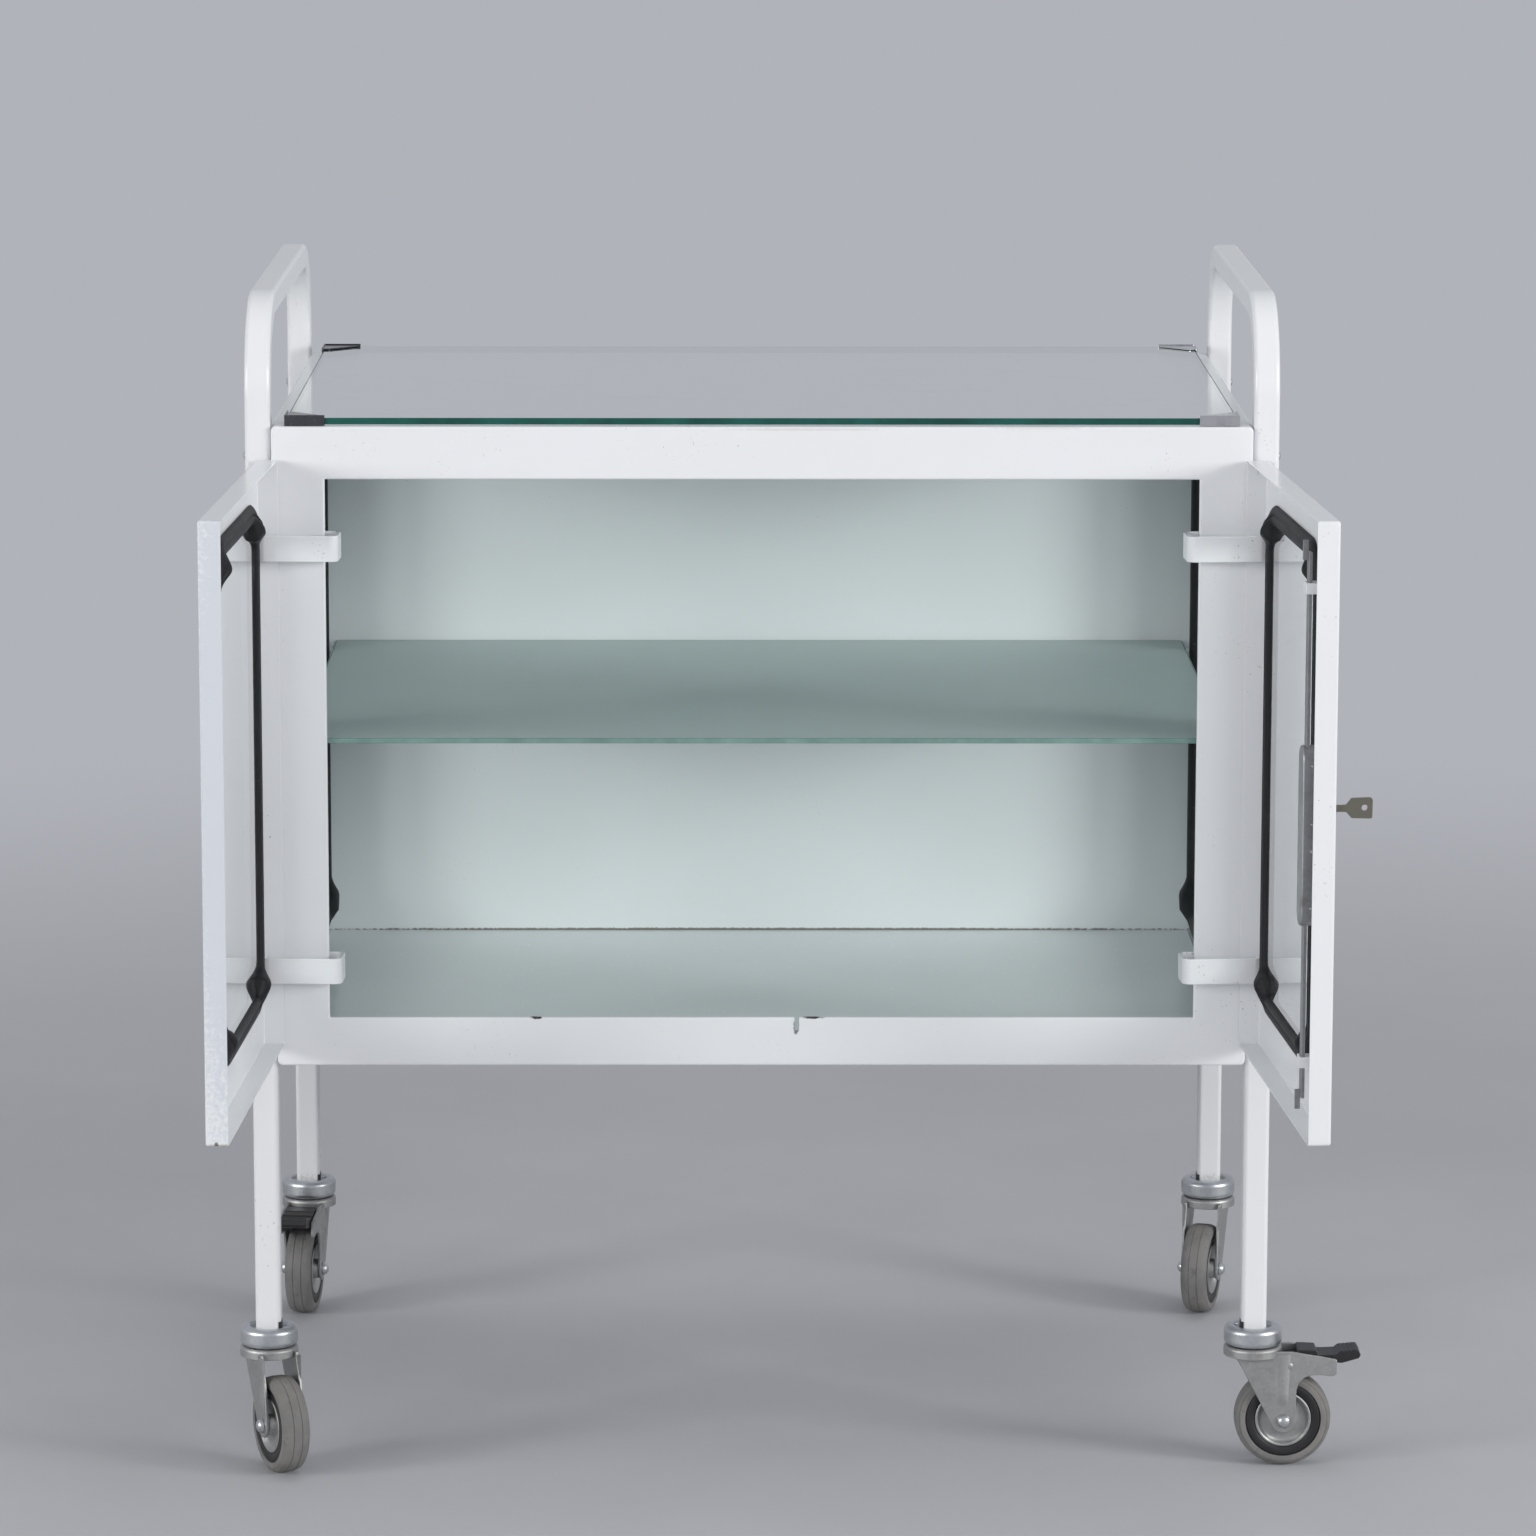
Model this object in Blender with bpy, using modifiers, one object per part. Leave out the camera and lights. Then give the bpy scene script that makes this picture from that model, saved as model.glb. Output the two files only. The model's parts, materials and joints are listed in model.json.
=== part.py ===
"""Hospital trolley: a glazed two-door cabinet hung between two bent tube frames on four swivel casters.

Metres, +Z up. The front looks along -Y and both doors stand open. Every cabinet measure is taken from
the cabinet's centre plane (X), the face of its front frame (Y) and the ground (Z). Door pieces are drawn
with the door shut and turned about the hinge pin. The root empty carries the whole object so that the
ground point under its middle is the origin.
"""

import math

import bmesh
import bpy
from mathutils import Matrix, Vector

MM = 0.001

# Clearances shared by all pieces
SEAT_GAP = 0.3 * MM
OVERRUN = 5 * MM
WELD = 0.01 * MM

# Cabinet
CABINET_WIDTH = 756 * MM
CABINET_HEIGHT = 502.5 * MM
CABINET_DEPTH = 518 * MM
CABINET_BOTTOM = 324.5 * MM
SHEET = 1.2 * MM
STILE_WIDTH = 41 * MM
HEADER_HEIGHT = 41 * MM
RAIL_HEIGHT = 38.5 * MM
FRONT_FLANGE = 18 * MM
FRONT_LIP = 5 * MM
FRONT_CORNER = 4 * MM
SIDE_FLANGE = 9 * MM
BACK_FLANGE = 9 * MM
TOP_FLANGE = 12 * MM
FLOOR_RISE = 6 * MM

# Shelf and its welded lugs
SHELF_TOP = 582.5 * MM
SHELF_THICKNESS = 4 * MM
SHELF_FRONT = 9 * MM
SHELF_SIDE_PLAY = 9 * MM
SHELF_REAR_PLAY = 3 * MM
SHELF_CORNER = 5 * MM
LUG_WIDTH = 20 * MM
LUG_REACH = 19 * MM
LUG_DROP = 15 * MM
LUG_SHEET = 1.5 * MM
LUG_FRONT_MARGIN = 6.7 * MM
LUG_REAR_MARGIN = 18.7 * MM

# Rubber seals and panes
SEAL_WIDTH = 16 * MM
SEAL_LIP = 6 * MM
SEAL_PROUD = 6.5 * MM
SEAL_SOFTENING = 2.2 * MM
PANE_THICKNESS = 4 * MM
SIDE_SEAL_FRONT_MARGIN = 37.7 * MM
SIDE_SEAL_REAR_MARGIN = 46.7 * MM
SIDE_SEAL_BOTTOM_MARGIN = 21.5 * MM
SIDE_SEAL_TOP_MARGIN = 10.7 * MM
SIDE_SEAL_CORNER = 45 * MM
DOOR_SEAL_HINGE_MARGIN = 21 * MM
DOOR_SEAL_FREE_MARGIN = 78 * MM
DOOR_SEAL_BOTTOM_MARGIN = 34.5 * MM
DOOR_SEAL_TOP_MARGIN = 27.5 * MM
DOOR_SEAL_CORNER = 38 * MM

# Glass work top and its corner clips
WORK_TOP_FRONT = 3 * MM
WORK_TOP_REAR_MARGIN = 16 * MM
WORK_TOP_SIDE_MARGIN = 12 * MM
WORK_TOP_THICKNESS = 5 * MM
WORK_TOP_LIFT = 1.3 * MM
WORK_TOP_CORNER = 3 * MM
CLIP_LENGTH = 31 * MM
CLIP_WALL = 1.2 * MM
CLIP_FOOT = 0.7 * MM
CLIP_TOP = 1.1 * MM
CLIP_RISE = 0.9 * MM

# Tube frames
TUBE = 20 * MM
TUBE_WALL = 1.5 * MM
TUBE_CORNER = 3.5 * MM
TUBE_SETBACK = 3 * MM
FRAME_OVERHANG = 1 * MM
FRAME_TOP = 925 * MM
BEND_RADIUS = 65 * MM
LEG_BOTTOM = 110 * MM

# Doors
DOOR_MEETING_GAP = 1.5 * MM
DOOR_LOWER_LAP = 21.5 * MM
DOOR_UPPER_LAP = 15.5 * MM
DOOR_DEPTH = 16.8 * MM
DOOR_SHEET = 1 * MM
DOOR_CORNER = 2.5 * MM
DOOR_MARGIN = 28.5 * MM
DOOR_STANDOFF = 1 * MM
DOOR_OPEN_LEFT = math.radians(92.9)
DOOR_OPEN_RIGHT = math.radians(94)

# Hinges
PIN_INSET = 16.75 * MM
PIN_SETBACK = 9.75 * MM
PIN_RADIUS = 3 * MM
KNUCKLE_WALL = 2.2 * MM
ARM_HEIGHT = 20 * MM
ARM_THICKNESS = 3 * MM
ARM_REACH_BACK = 35.25 * MM
ARM_REACH_IN = 29.25 * MM
ARM_FOOT = 13 * MM
ARM_BEND = 5 * MM
UPPER_HINGE_MARGIN = 66.5 * MM
LOWER_HINGE_MARGIN = 62.5 * MM
BRACKET_SHEET = 1.8 * MM
BRACKET_NEAR = 1.8 * MM
BRACKET_FAR = 33 * MM
LUG_ROUND = 8 * MM

# Lock, key and rods
LOCK_MARGIN = 26 * MM
LOCK_RISE = 246 * MM
CASE_BELOW = 86.5 * MM
CASE_ABOVE = 47 * MM
CASE_WIDTH = 22 * MM
CASE_WALL = 1 * MM
CASE_PROUD = 5.6 * MM
CASE_EDGE = 1 * MM
COLLAR_RADIUS = 12 * MM
COLLAR_FACE_RADIUS = 9.5 * MM
COLLAR_HEIGHT = 7.4 * MM
PLUG_RADIUS = 8.2 * MM
PLUG_SINK = 0.3 * MM
PLUG_SHOULDER = 1.8 * MM
DRUM_RADIUS = 5.4 * MM
KEY_THICKNESS = 2 * MM
BLADE_WIDTH = 6.4 * MM
BLADE_DEPTH = 19.5 * MM
KEY_STANDOUT = 10.8 * MM
BOW_WIDTH = 17.4 * MM
BOW_LENGTH = 12.5 * MM
BOW_ROUND = 4 * MM
BOW_HOLE = 1.75 * MM
ROD_WIDTH = 10 * MM
ROD_THICKNESS = 2.5 * MM
ROD_END_MARGIN = 10 * MM
ROD_PLAY = 0.4 * MM
ROD_DRUM_GAP = 7 * MM
ROD_JOG = 8 * MM
TAIL_OVERLAP = 12.5 * MM
DRUM_PLAY = 0.5 * MM
HOOK_THICKNESS = 1.6 * MM
HOOK_IN = 3 * MM
HOOK_OUT = 6.5 * MM
HOOK_ROOT = 6 * MM
HOOK_CLEARANCE = 1.2 * MM
KEEPER_WIDTH = 3.6 * MM
KEEPER_DEPTH = 10.5 * MM
GUIDE_HEIGHT = 8 * MM
GUIDE_SHEET = 1.2 * MM
UPPER_GUIDE_MARGIN = 36 * MM
LOWER_GUIDE_MARGIN = 37 * MM

# Casters
CASTER_TRAIL = 24 * MM
WHEEL_RADIUS = 38 * MM
TYRE_HALF_WIDTH = 11.25 * MM
TYRE_HEIGHT = 8.2 * MM
RIM_HALF_WIDTH = 10.5 * MM
RIM_HEIGHT = 7.5 * MM
HUB_RADIUS = 8 * MM
HUB_HALF_WIDTH = 13.2 * MM
DISC_HALF_WIDTH = 7.5 * MM
AXLE_RADIUS = 4 * MM
NUT_RADIUS = 5.5 * MM
NUT_HEIGHT = 4.5 * MM
HEAD_RADIUS = 23 * MM
HEAD_RISE = 3 * MM
HEAD_HEIGHT = 12.7 * MM
HEAD_ROUND = 3 * MM
HEAD_RECESS = 14 * MM
STEM_RADIUS = 5.5 * MM
STEM_HEIGHT = 50 * MM
KING_PIN_RADIUS = 5 * MM
KING_HEAD_RADIUS = 9 * MM
KING_HEAD_HEIGHT = 2.5 * MM
CROWN_THICKNESS = 4 * MM
CROWN_SKIRT = 8 * MM
PLATE_THICKNESS = 2.5 * MM
PLATE_FRONT = 15.5 * MM
PLATE_REAR = 22 * MM
PLATE_SHOULDER = 5 * MM
PLATE_END_RADIUS = 9.8 * MM
HOUSING_REACH = 65.6 * MM
HOUSING_TOP = 92 * MM
HOUSING_HEIGHT = 22 * MM
HOUSING_ARCH_GAP = 7 * MM
HOUSING_ROOF = 33 * MM
HOUSING_CORNER = 4 * MM
PEDAL_PIVOT_X = 28 * MM
PEDAL_PIVOT_Z = 82.7 * MM
PEDAL_PIN_RADIUS = 3.5 * MM
PEDAL_BOSS_RADIUS = 5.6 * MM
PEDAL_REACH = 84.5 * MM
PEDAL_SIDE_PLAY = 0.5 * MM
PEDAL_BELLY = 77.4 * MM
PEDAL_TIP_BOTTOM = 85 * MM
PEDAL_TIP_TOP = 95 * MM
PEDAL_WAIST = 91 * MM
BUTTON_START = 34 * MM
BUTTON_END = 50 * MM
FRONT_LEFT_HEADING = math.radians(-65)
FRONT_RIGHT_HEADING = 0
REAR_LEFT_HEADING = math.radians(-97)
REAR_RIGHT_HEADING = math.radians(-106)

# Shares of one piece's own size
collar_shoulder_share = 0.25
# Tyre shoulder, as shares of the tyre's height and of its half width
tyre_shoulder_shares = ((0.40, 1.0), (0.80, 0.86), (1.0, 0.56))

# Facet counts
CORNER_STEPS = 4
BEND_STEPS = 8
SMALL_STEPS = 2
ROUND_STEPS = 12
TURNED_STEPS = 16
WHEEL_STEPS = 24

# Places that follow from the sizes
half_width = CABINET_WIDTH / 2
cabinet_top = CABINET_BOTTOM + CABINET_HEIGHT
opening_x = half_width - STILE_WIDTH
opening_bottom = CABINET_BOTTOM + RAIL_HEIGHT
opening_top = cabinet_top - HEADER_HEIGHT
back_face = CABINET_DEPTH - BACK_FLANGE
side_inner = half_width - SIDE_FLANGE
side_middle = side_inner + SHEET / 2
pan_front = FRONT_FLANGE + SEAT_GAP
pan_rear = back_face - SEAT_GAP
tube_x = half_width + SEAT_GAP + TUBE / 2
front_leg_y = TUBE_SETBACK + TUBE / 2
rear_leg_y = CABINET_DEPTH + FRAME_OVERHANG - TUBE / 2
side_top = cabinet_top - TOP_FLANGE - SEAT_GAP
work_top_x = half_width - WORK_TOP_SIDE_MARGIN
work_top_rear = CABINET_DEPTH - WORK_TOP_REAR_MARGIN
pin_x = half_width - PIN_INSET
pin_y = PIN_SETBACK
door_hinge_x = half_width - DOOR_MARGIN
door_free_x = DOOR_MEETING_GAP
door_bottom = opening_bottom - DOOR_LOWER_LAP
door_top = opening_top + DOOR_UPPER_LAP
upper_hinge = door_top - UPPER_HINGE_MARGIN
lower_hinge = door_bottom + LOWER_HINGE_MARGIN
door_rim_y = -DOOR_STANDOFF
door_face_y = door_rim_y - DOOR_DEPTH
door_inner_y = door_face_y + DOOR_SHEET
door_middle_y = door_face_y + DOOR_SHEET / 2
lock_x = door_free_x + LOCK_MARGIN
lock_z = door_bottom + LOCK_RISE
case_bottom = lock_z - CASE_BELOW
case_top = lock_z + CASE_ABOVE
crown_top = LEG_BOTTOM - HEAD_HEIGHT - SEAT_GAP
crown_bottom = crown_top - CROWN_THICKNESS
plate_inner = HUB_HALF_WIDTH + SEAT_GAP

# Which way local (a, b, c) points in each drawing plane, c being the direction of extrusion
PLANES = {
    "XY": Matrix(((1, 0, 0, 0), (0, 1, 0, 0), (0, 0, 1, 0), (0, 0, 0, 1))),
    "XZ": Matrix(((1, 0, 0, 0), (0, 0, 1, 0), (0, 1, 0, 0), (0, 0, 0, 1))),
    "YZ": Matrix(((0, 0, 1, 0), (1, 0, 0, 0), (0, 1, 0, 0), (0, 0, 0, 1))),
}

# Colour, roughness and metallic value of each finish
LOOKS = {
    "white_lacquer": ((0.80, 0.83, 0.83), 0.35, 0.0),
    "clear_glass": ((0.72, 0.86, 0.82), 0.04, 0.0),
    "frosted_glass": ((0.50, 0.62, 0.58), 0.45, 0.0),
    "black_rubber": ((0.015, 0.015, 0.016), 0.60, 0.0),
    "chrome": ((0.75, 0.76, 0.78), 0.12, 1.0),
    "galvanised_zinc": ((0.52, 0.53, 0.53), 0.45, 0.9),
    "grey_tyre": ((0.30, 0.31, 0.32), 0.75, 0.0),
    "black_plastic": ((0.02, 0.02, 0.022), 0.45, 0.0),
    "nickel": ((0.62, 0.60, 0.55), 0.28, 1.0),
}


def clear_scene():
    """Remove every object, then make one collection for the parts and one for what shapes them."""
    for obj in list(bpy.data.objects):
        bpy.data.objects.remove(obj, do_unlink=True)
    made = []
    for name in ("hospital_trolley", "shaping"):
        made.append(bpy.data.collections.new(name))
        bpy.context.scene.collection.children.link(made[-1])
    return made


def make_materials():
    """One Principled material for each finish."""
    made = {}
    for name, (colour, roughness, metallic) in LOOKS.items():
        made[name] = bpy.data.materials.new(name)
        made[name].use_nodes = True
        shader = made[name].node_tree.nodes["Principled BSDF"]
        shader.inputs["Base Color"].default_value = (*colour, 1)
        shader.inputs["Roughness"].default_value = roughness
        shader.inputs["Metallic"].default_value = metallic
    return made


def shaping_object(name, data):
    """A hidden object that becomes a part only when finish() takes it."""
    obj = bpy.data.objects.new(name, data)
    shaping.objects.link(obj)
    obj.hide_render = True
    obj.display_type = "WIRE"
    return obj


def evaluated_mesh(obj):
    graph = bpy.context.evaluated_depsgraph_get()
    return bpy.data.meshes.new_from_object(obj.evaluated_get(graph))


def settled(source, plane, lift):
    """Turn a curve or a modified outline into one closed mesh in its drawing plane."""
    mesh = evaluated_mesh(source)
    work = bmesh.new()
    work.from_mesh(mesh)
    bmesh.ops.remove_doubles(work, verts=work.verts, dist=WELD)
    bmesh.ops.translate(work, vec=(0, 0, lift), verts=work.verts)
    bmesh.ops.transform(work, matrix=PLANES[plane], verts=work.verts)
    bmesh.ops.recalc_face_normals(work, faces=work.faces)
    work.to_mesh(mesh)
    work.free()
    name = source.name
    bpy.data.objects.remove(source)
    return shaping_object(name, mesh)


def flat_curve(name, outlines, cyclic, fill):
    """A 2D curve with one straight-sided spline for each outline."""
    data = bpy.data.curves.new(name, "CURVE")
    data.dimensions = "2D"
    data.fill_mode = fill
    for points in outlines:
        spline = data.splines.new("POLY")
        spline.points.add(len(points) - 1)
        for point, (a, b) in zip(spline.points, points):
            point.co = (a, b, 0, 1)
        spline.use_cyclic_u = cyclic
    return shaping_object(name, data)


def extruded(outlines, low, high, plane):
    """A flat outline, with any holes after it, extruded from low to high across its plane."""
    source = flat_curve("extrusion", outlines, True, "BOTH")
    source.data.extrude = (high - low) / 2
    return settled(source, plane, (low + high) / 2)


def swept(path, section, cyclic, plane, lift=0):
    """A closed section carried along a flat path. Round a loop its first axis points inwards."""
    guide = flat_curve("section", [section], True, "NONE")
    source = flat_curve("sweep", [path], cyclic, "NONE")
    source.data.bevel_mode = "OBJECT"
    source.data.bevel_object = guide
    source.data.use_fill_caps = not cyclic
    made = settled(source, plane, lift)
    bpy.data.objects.remove(guide)
    return made


def turned(profile, steps, plane, closed=False):
    """A profile of (radius, height) points turned a full circle about its height axis."""
    data = bpy.data.meshes.new("turning")
    edges = [(i, i + 1) for i in range(len(profile) - 1)]
    if closed:
        edges.append((len(profile) - 1, 0))
    data.from_pydata([(r, 0, h) for r, h in profile], edges, [])
    source = shaping_object("turning", data)
    screw = source.modifiers.new("turn", "SCREW")
    screw.steps = steps
    screw.render_steps = steps
    screw.use_merge_vertices = True
    screw.merge_threshold = WELD
    return settled(source, plane, 0)


def box(low, high):
    """A box between two corners."""
    low, high = Vector(low), Vector(high)
    work = bmesh.new()
    bmesh.ops.create_cube(work, size=1)
    bmesh.ops.scale(work, vec=high - low, verts=work.verts)
    bmesh.ops.translate(work, vec=(low + high) / 2, verts=work.verts)
    mesh = bpy.data.meshes.new("box")
    work.to_mesh(mesh)
    work.free()
    return shaping_object("box", mesh)


def combined(target, others, operation):
    for other in others:
        step = target.modifiers.new("step", "BOOLEAN")
        step.operation = operation
        step.solver = "EXACT"
        step.object = other
        mesh = evaluated_mesh(target)
        target.modifiers.clear()
        target.data = mesh
        bpy.data.objects.remove(other)
    return target


def cut(target, *others):
    return combined(target, others, "DIFFERENCE")


def joined(target, *others):
    return combined(target, others, "UNION")


def softened(obj, chosen, width, steps):
    """Round the edges whose ends all pass the test."""
    work = bmesh.new()
    work.from_mesh(obj.data)
    edges = [e for e in work.edges if all(chosen(v.co) for v in e.verts) and e.calc_face_angle(0) > math.radians(60)]
    bmesh.ops.bevel(work, geom=edges, offset=width, segments=steps, profile=0.5, affect="EDGES")
    work.to_mesh(obj.data)
    work.free()
    return obj


def moved(obj, offset):
    obj.data.transform(Matrix.Translation(Vector(offset)))
    return obj


def mirrored(obj, x=1, y=1):
    """Reflect a solid in the centre planes whose factor is -1."""
    obj.data.transform(Matrix.Diagonal((x, y, 1, 1)))
    if x * y < 0:
        obj.data.flip_normals()
    return obj


def duplicate(obj):
    return shaping_object(obj.name, obj.data.copy())


def finish(obj, name, look, parent, place=(0, 0, 0)):
    """Make a solid a named part of the trolley."""
    shaping.objects.unlink(obj)
    parts.objects.link(obj)
    obj.hide_render = False
    obj.display_type = "TEXTURED"
    obj.name = name
    obj.parent = parent
    obj.location = place
    dress(obj.data, name, look)
    return obj


def dress(mesh, name, look):
    mesh.name = name
    mesh.materials.clear()
    mesh.materials.append(materials[look])
    mesh.shade_smooth()
    mesh.set_sharp_from_angle(angle=math.radians(32))


def repeat(source, name, parent, place):
    """Another object that shares the mesh of a finished part."""
    obj = bpy.data.objects.new(name, source.data)
    parts.objects.link(obj)
    obj.parent = parent
    obj.location = place
    return obj


def empty(name, parent, place, turn=0):
    obj = bpy.data.objects.new(name, None)
    parts.objects.link(obj)
    obj.empty_display_size = TUBE
    obj.parent = parent
    obj.location = place
    obj.rotation_euler = (0, 0, turn)
    return obj


def arc(centre, radius, start, end, steps):
    """Points on a circle from one angle to another, both ends included."""
    angles = [start + (end - start) * i / steps for i in range(steps + 1)]
    return [(centre[0] + radius * math.cos(a), centre[1] + radius * math.sin(a)) for a in angles]


def circle(centre, radius, steps=ROUND_STEPS):
    return arc(centre, radius, 0, math.tau, steps)[:-1]


def rounded_rectangle(low, high, radius, steps=SMALL_STEPS):
    """Corner points of a rectangle with round corners, counterclockwise."""
    centres = (
        (high[0] - radius, high[1] - radius),
        (low[0] + radius, high[1] - radius),
        (low[0] + radius, low[1] + radius),
        (high[0] - radius, low[1] + radius),
    )
    points = []
    for quarter, centre in enumerate(centres):
        start = quarter * math.pi / 2
        points += arc(centre, radius, start, start + math.pi / 2, steps)
    return points


def bent_path(corners, radius, steps):
    """A path through the corners with each inner one rounded."""
    points = [corners[0]]
    for before, corner, after in zip(corners, corners[1:], corners[2:]):
        here = Vector(corner)
        back = (Vector(before) - here).normalized()
        ahead = (Vector(after) - here).normalized()
        turn = back.angle(ahead)
        centre = here + (back + ahead).normalized() * radius / math.sin(turn / 2)
        first = here + back * radius / math.tan(turn / 2) - centre
        last = here + ahead * radius / math.tan(turn / 2) - centre
        sweep = first.angle_signed(last)
        start = math.atan2(first.y, first.x)
        points += arc(centre, radius, start, start - sweep, steps)
    return points + [corners[-1]]


def tangent_angle(point, centre, radius, side):
    """Angle at which the tangent from a point meets a circle, on the chosen side."""
    away = Vector(point) - Vector(centre)
    return math.atan2(away.y, away.x) + side * math.acos(radius / away.length)


def turned_about_pin(u, v, angle):
    """Where a point of the shut right door, given from the hinge pin, lies with the door open."""
    return (u * math.cos(angle) - v * math.sin(angle), u * math.sin(angle) + v * math.cos(angle))


def object_centre():
    """Middle of the object's plan, from the reaches of the casters and the open doors."""
    free_edge = door_free_x - pin_x
    reaches = []
    for angle in (DOOR_OPEN_LEFT, DOOR_OPEN_RIGHT):
        reaches.append(turned_about_pin(free_edge, door_face_y - pin_y, angle))
    left = max(pin_x + reaches[0][0], tube_x + HEAD_RADIUS)
    right = max(pin_x + reaches[1][0], tube_x + PEDAL_REACH)
    front = max(-reach[1] - pin_y for reach in reaches)
    rear = rear_leg_y + HEAD_RADIUS
    return ((right - left) / 2, (rear - front) / 2)


def side_frame():
    """Inverted U of square tube with open leg ends."""
    def centre_line(bottom):
        top = FRAME_TOP - TUBE / 2
        corners = [(front_leg_y, bottom), (front_leg_y, top), (rear_leg_y, top), (rear_leg_y, bottom)]
        return bent_path(corners, BEND_RADIUS, BEND_STEPS)
    half, bore = TUBE / 2, TUBE / 2 - TUBE_WALL
    outside = swept(centre_line(LEG_BOTTOM), rounded_rectangle((-half, -half), (half, half), TUBE_CORNER), False, "YZ")
    inside = swept(centre_line(LEG_BOTTOM - OVERRUN), [(-bore, -bore), (bore, -bore), (bore, bore), (-bore, bore)], False, "YZ")
    return moved(cut(outside, inside), (tube_x, 0, 0))


def front_frame():
    """Folded face frame: outer flanges all round, a short lip round the doorway and two keeper notches."""
    face = extruded([rounded_rectangle((-half_width, CABINET_BOTTOM), (half_width, cabinet_top), FRONT_CORNER)], 0, FRONT_FLANGE, "XZ")
    inside = rounded_rectangle(
        (-half_width + SHEET, CABINET_BOTTOM + SHEET), (half_width - SHEET, cabinet_top - SHEET), FRONT_CORNER - SHEET)
    cut(face, extruded([inside], SHEET, FRONT_FLANGE + OVERRUN, "XZ"))
    joined(face, box((-opening_x - SHEET, SHEET / 2, opening_bottom - SHEET), (opening_x + SHEET, FRONT_LIP, opening_top + SHEET)))
    cut(face, box((-opening_x, -OVERRUN, opening_bottom), (opening_x, FRONT_LIP + OVERRUN, opening_top)))
    near, far = lock_x - KEEPER_WIDTH / 2, lock_x + KEEPER_WIDTH / 2
    cut(face, box((near, -OVERRUN, opening_bottom - KEEPER_DEPTH), (far, FRONT_LIP + OVERRUN, opening_bottom + OVERRUN)))
    return cut(face, box((near, -OVERRUN, opening_top - OVERRUN), (far, FRONT_LIP + OVERRUN, opening_top + KEEPER_DEPTH)))


def pan(low, high, wall, open_axis, open_side):
    """A box folded from sheet, open on one side."""
    outer = box(low, high)
    inner_low = [value + wall for value in low]
    inner_high = [value - wall for value in high]
    if open_side > 0:
        inner_high[open_axis] = high[open_axis] + OVERRUN
    else:
        inner_low[open_axis] = low[open_axis] - OVERRUN
    return cut(outer, box(inner_low, inner_high))


def side_seal_outline(inset):
    return rounded_rectangle(
        (pan_front + SIDE_SEAL_FRONT_MARGIN + inset, CABINET_BOTTOM + SIDE_SEAL_BOTTOM_MARGIN + inset),
        (pan_rear - SIDE_SEAL_REAR_MARGIN - inset, side_top - SIDE_SEAL_TOP_MARGIN - inset),
        SIDE_SEAL_CORNER - inset, CORNER_STEPS)


def door_seal_outline(inset):
    return rounded_rectangle(
        (door_free_x + DOOR_SEAL_FREE_MARGIN + inset, door_bottom + DOOR_SEAL_BOTTOM_MARGIN + inset),
        (door_hinge_x - DOOR_SEAL_HINGE_MARGIN - inset, door_top - DOOR_SEAL_TOP_MARGIN - inset),
        DOOR_SEAL_CORNER - inset, CORNER_STEPS)


def seal_section(sheet):
    """H section: the outer groove grips the sheet, the inner groove the pane."""
    reach = sheet / 2 + SEAL_PROUD
    sheet_slot = sheet / 2 + SEAT_GAP
    pane_slot = PANE_THICKNESS / 2 + SEAT_GAP
    upper = [
        (0, sheet_slot), (0, reach - SEAL_SOFTENING), (SEAL_SOFTENING, reach),
        (SEAL_WIDTH - SEAL_SOFTENING, reach), (SEAL_WIDTH, reach - SEAL_SOFTENING), (SEAL_WIDTH, pane_slot),
        (SEAL_WIDTH - SEAL_LIP, pane_slot),
    ]
    lower = [(w, -t) for w, t in reversed(upper)]
    return [(SEAL_LIP, sheet_slot)] + upper + lower + [(SEAL_LIP, -sheet_slot)]


def side_panel():
    """Pan open outwards with the window cut out and four angle lugs for the shelf."""
    panel = pan((side_inner, pan_front, CABINET_BOTTOM), (half_width, pan_rear, side_top), SHEET, 0, 1)
    cut(panel, extruded([side_seal_outline(SEAL_LIP - SEAT_GAP)], side_inner - OVERRUN, half_width + OVERRUN, "YZ"))
    tab_top = SHELF_TOP - SHELF_THICKNESS - SEAT_GAP
    angle = [
        (side_inner + SHEET / 2, tab_top), (side_inner - LUG_REACH, tab_top), (side_inner - LUG_REACH, tab_top - LUG_SHEET),
        (side_inner - LUG_SHEET, tab_top - LUG_SHEET), (side_inner - LUG_SHEET, tab_top - LUG_DROP),
        (side_inner + SHEET / 2, tab_top - LUG_DROP),
    ]
    for start in (pan_front + LUG_FRONT_MARGIN, pan_rear - LUG_REAR_MARGIN - LUG_WIDTH):
        joined(panel, extruded([angle], start, start + LUG_WIDTH, "XZ"))
    return panel


def corner_clip():
    """Pressed corner at front right: two walls, a three-cornered cover and a foot under the glass."""
    x = work_top_x + SEAT_GAP + CLIP_WALL
    y = WORK_TOP_FRONT - SEAT_GAP - CLIP_WALL
    foot = cabinet_top + SEAT_GAP
    under = foot + CLIP_FOOT
    over = cabinet_top + WORK_TOP_LIFT + WORK_TOP_THICKNESS + SEAT_GAP
    walls = [
        (x, y), (x, y + CLIP_LENGTH), (x - CLIP_WALL, y + CLIP_LENGTH), (x - CLIP_WALL, y + CLIP_WALL),
        (x - CLIP_LENGTH, y + CLIP_WALL), (x - CLIP_LENGTH, y),
    ]
    inset = CLIP_WALL / 2
    cover = [(x - inset, y + inset), (x - inset, y + CLIP_LENGTH - CLIP_WALL), (x - CLIP_LENGTH + CLIP_WALL, y + inset)]
    clip = extruded([walls], foot, over + CLIP_TOP + CLIP_RISE, "XY")
    return joined(clip, extruded([cover], foot + CLIP_FOOT / 2, under, "XY"), extruded([cover], over, over + CLIP_TOP, "XY"))


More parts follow.
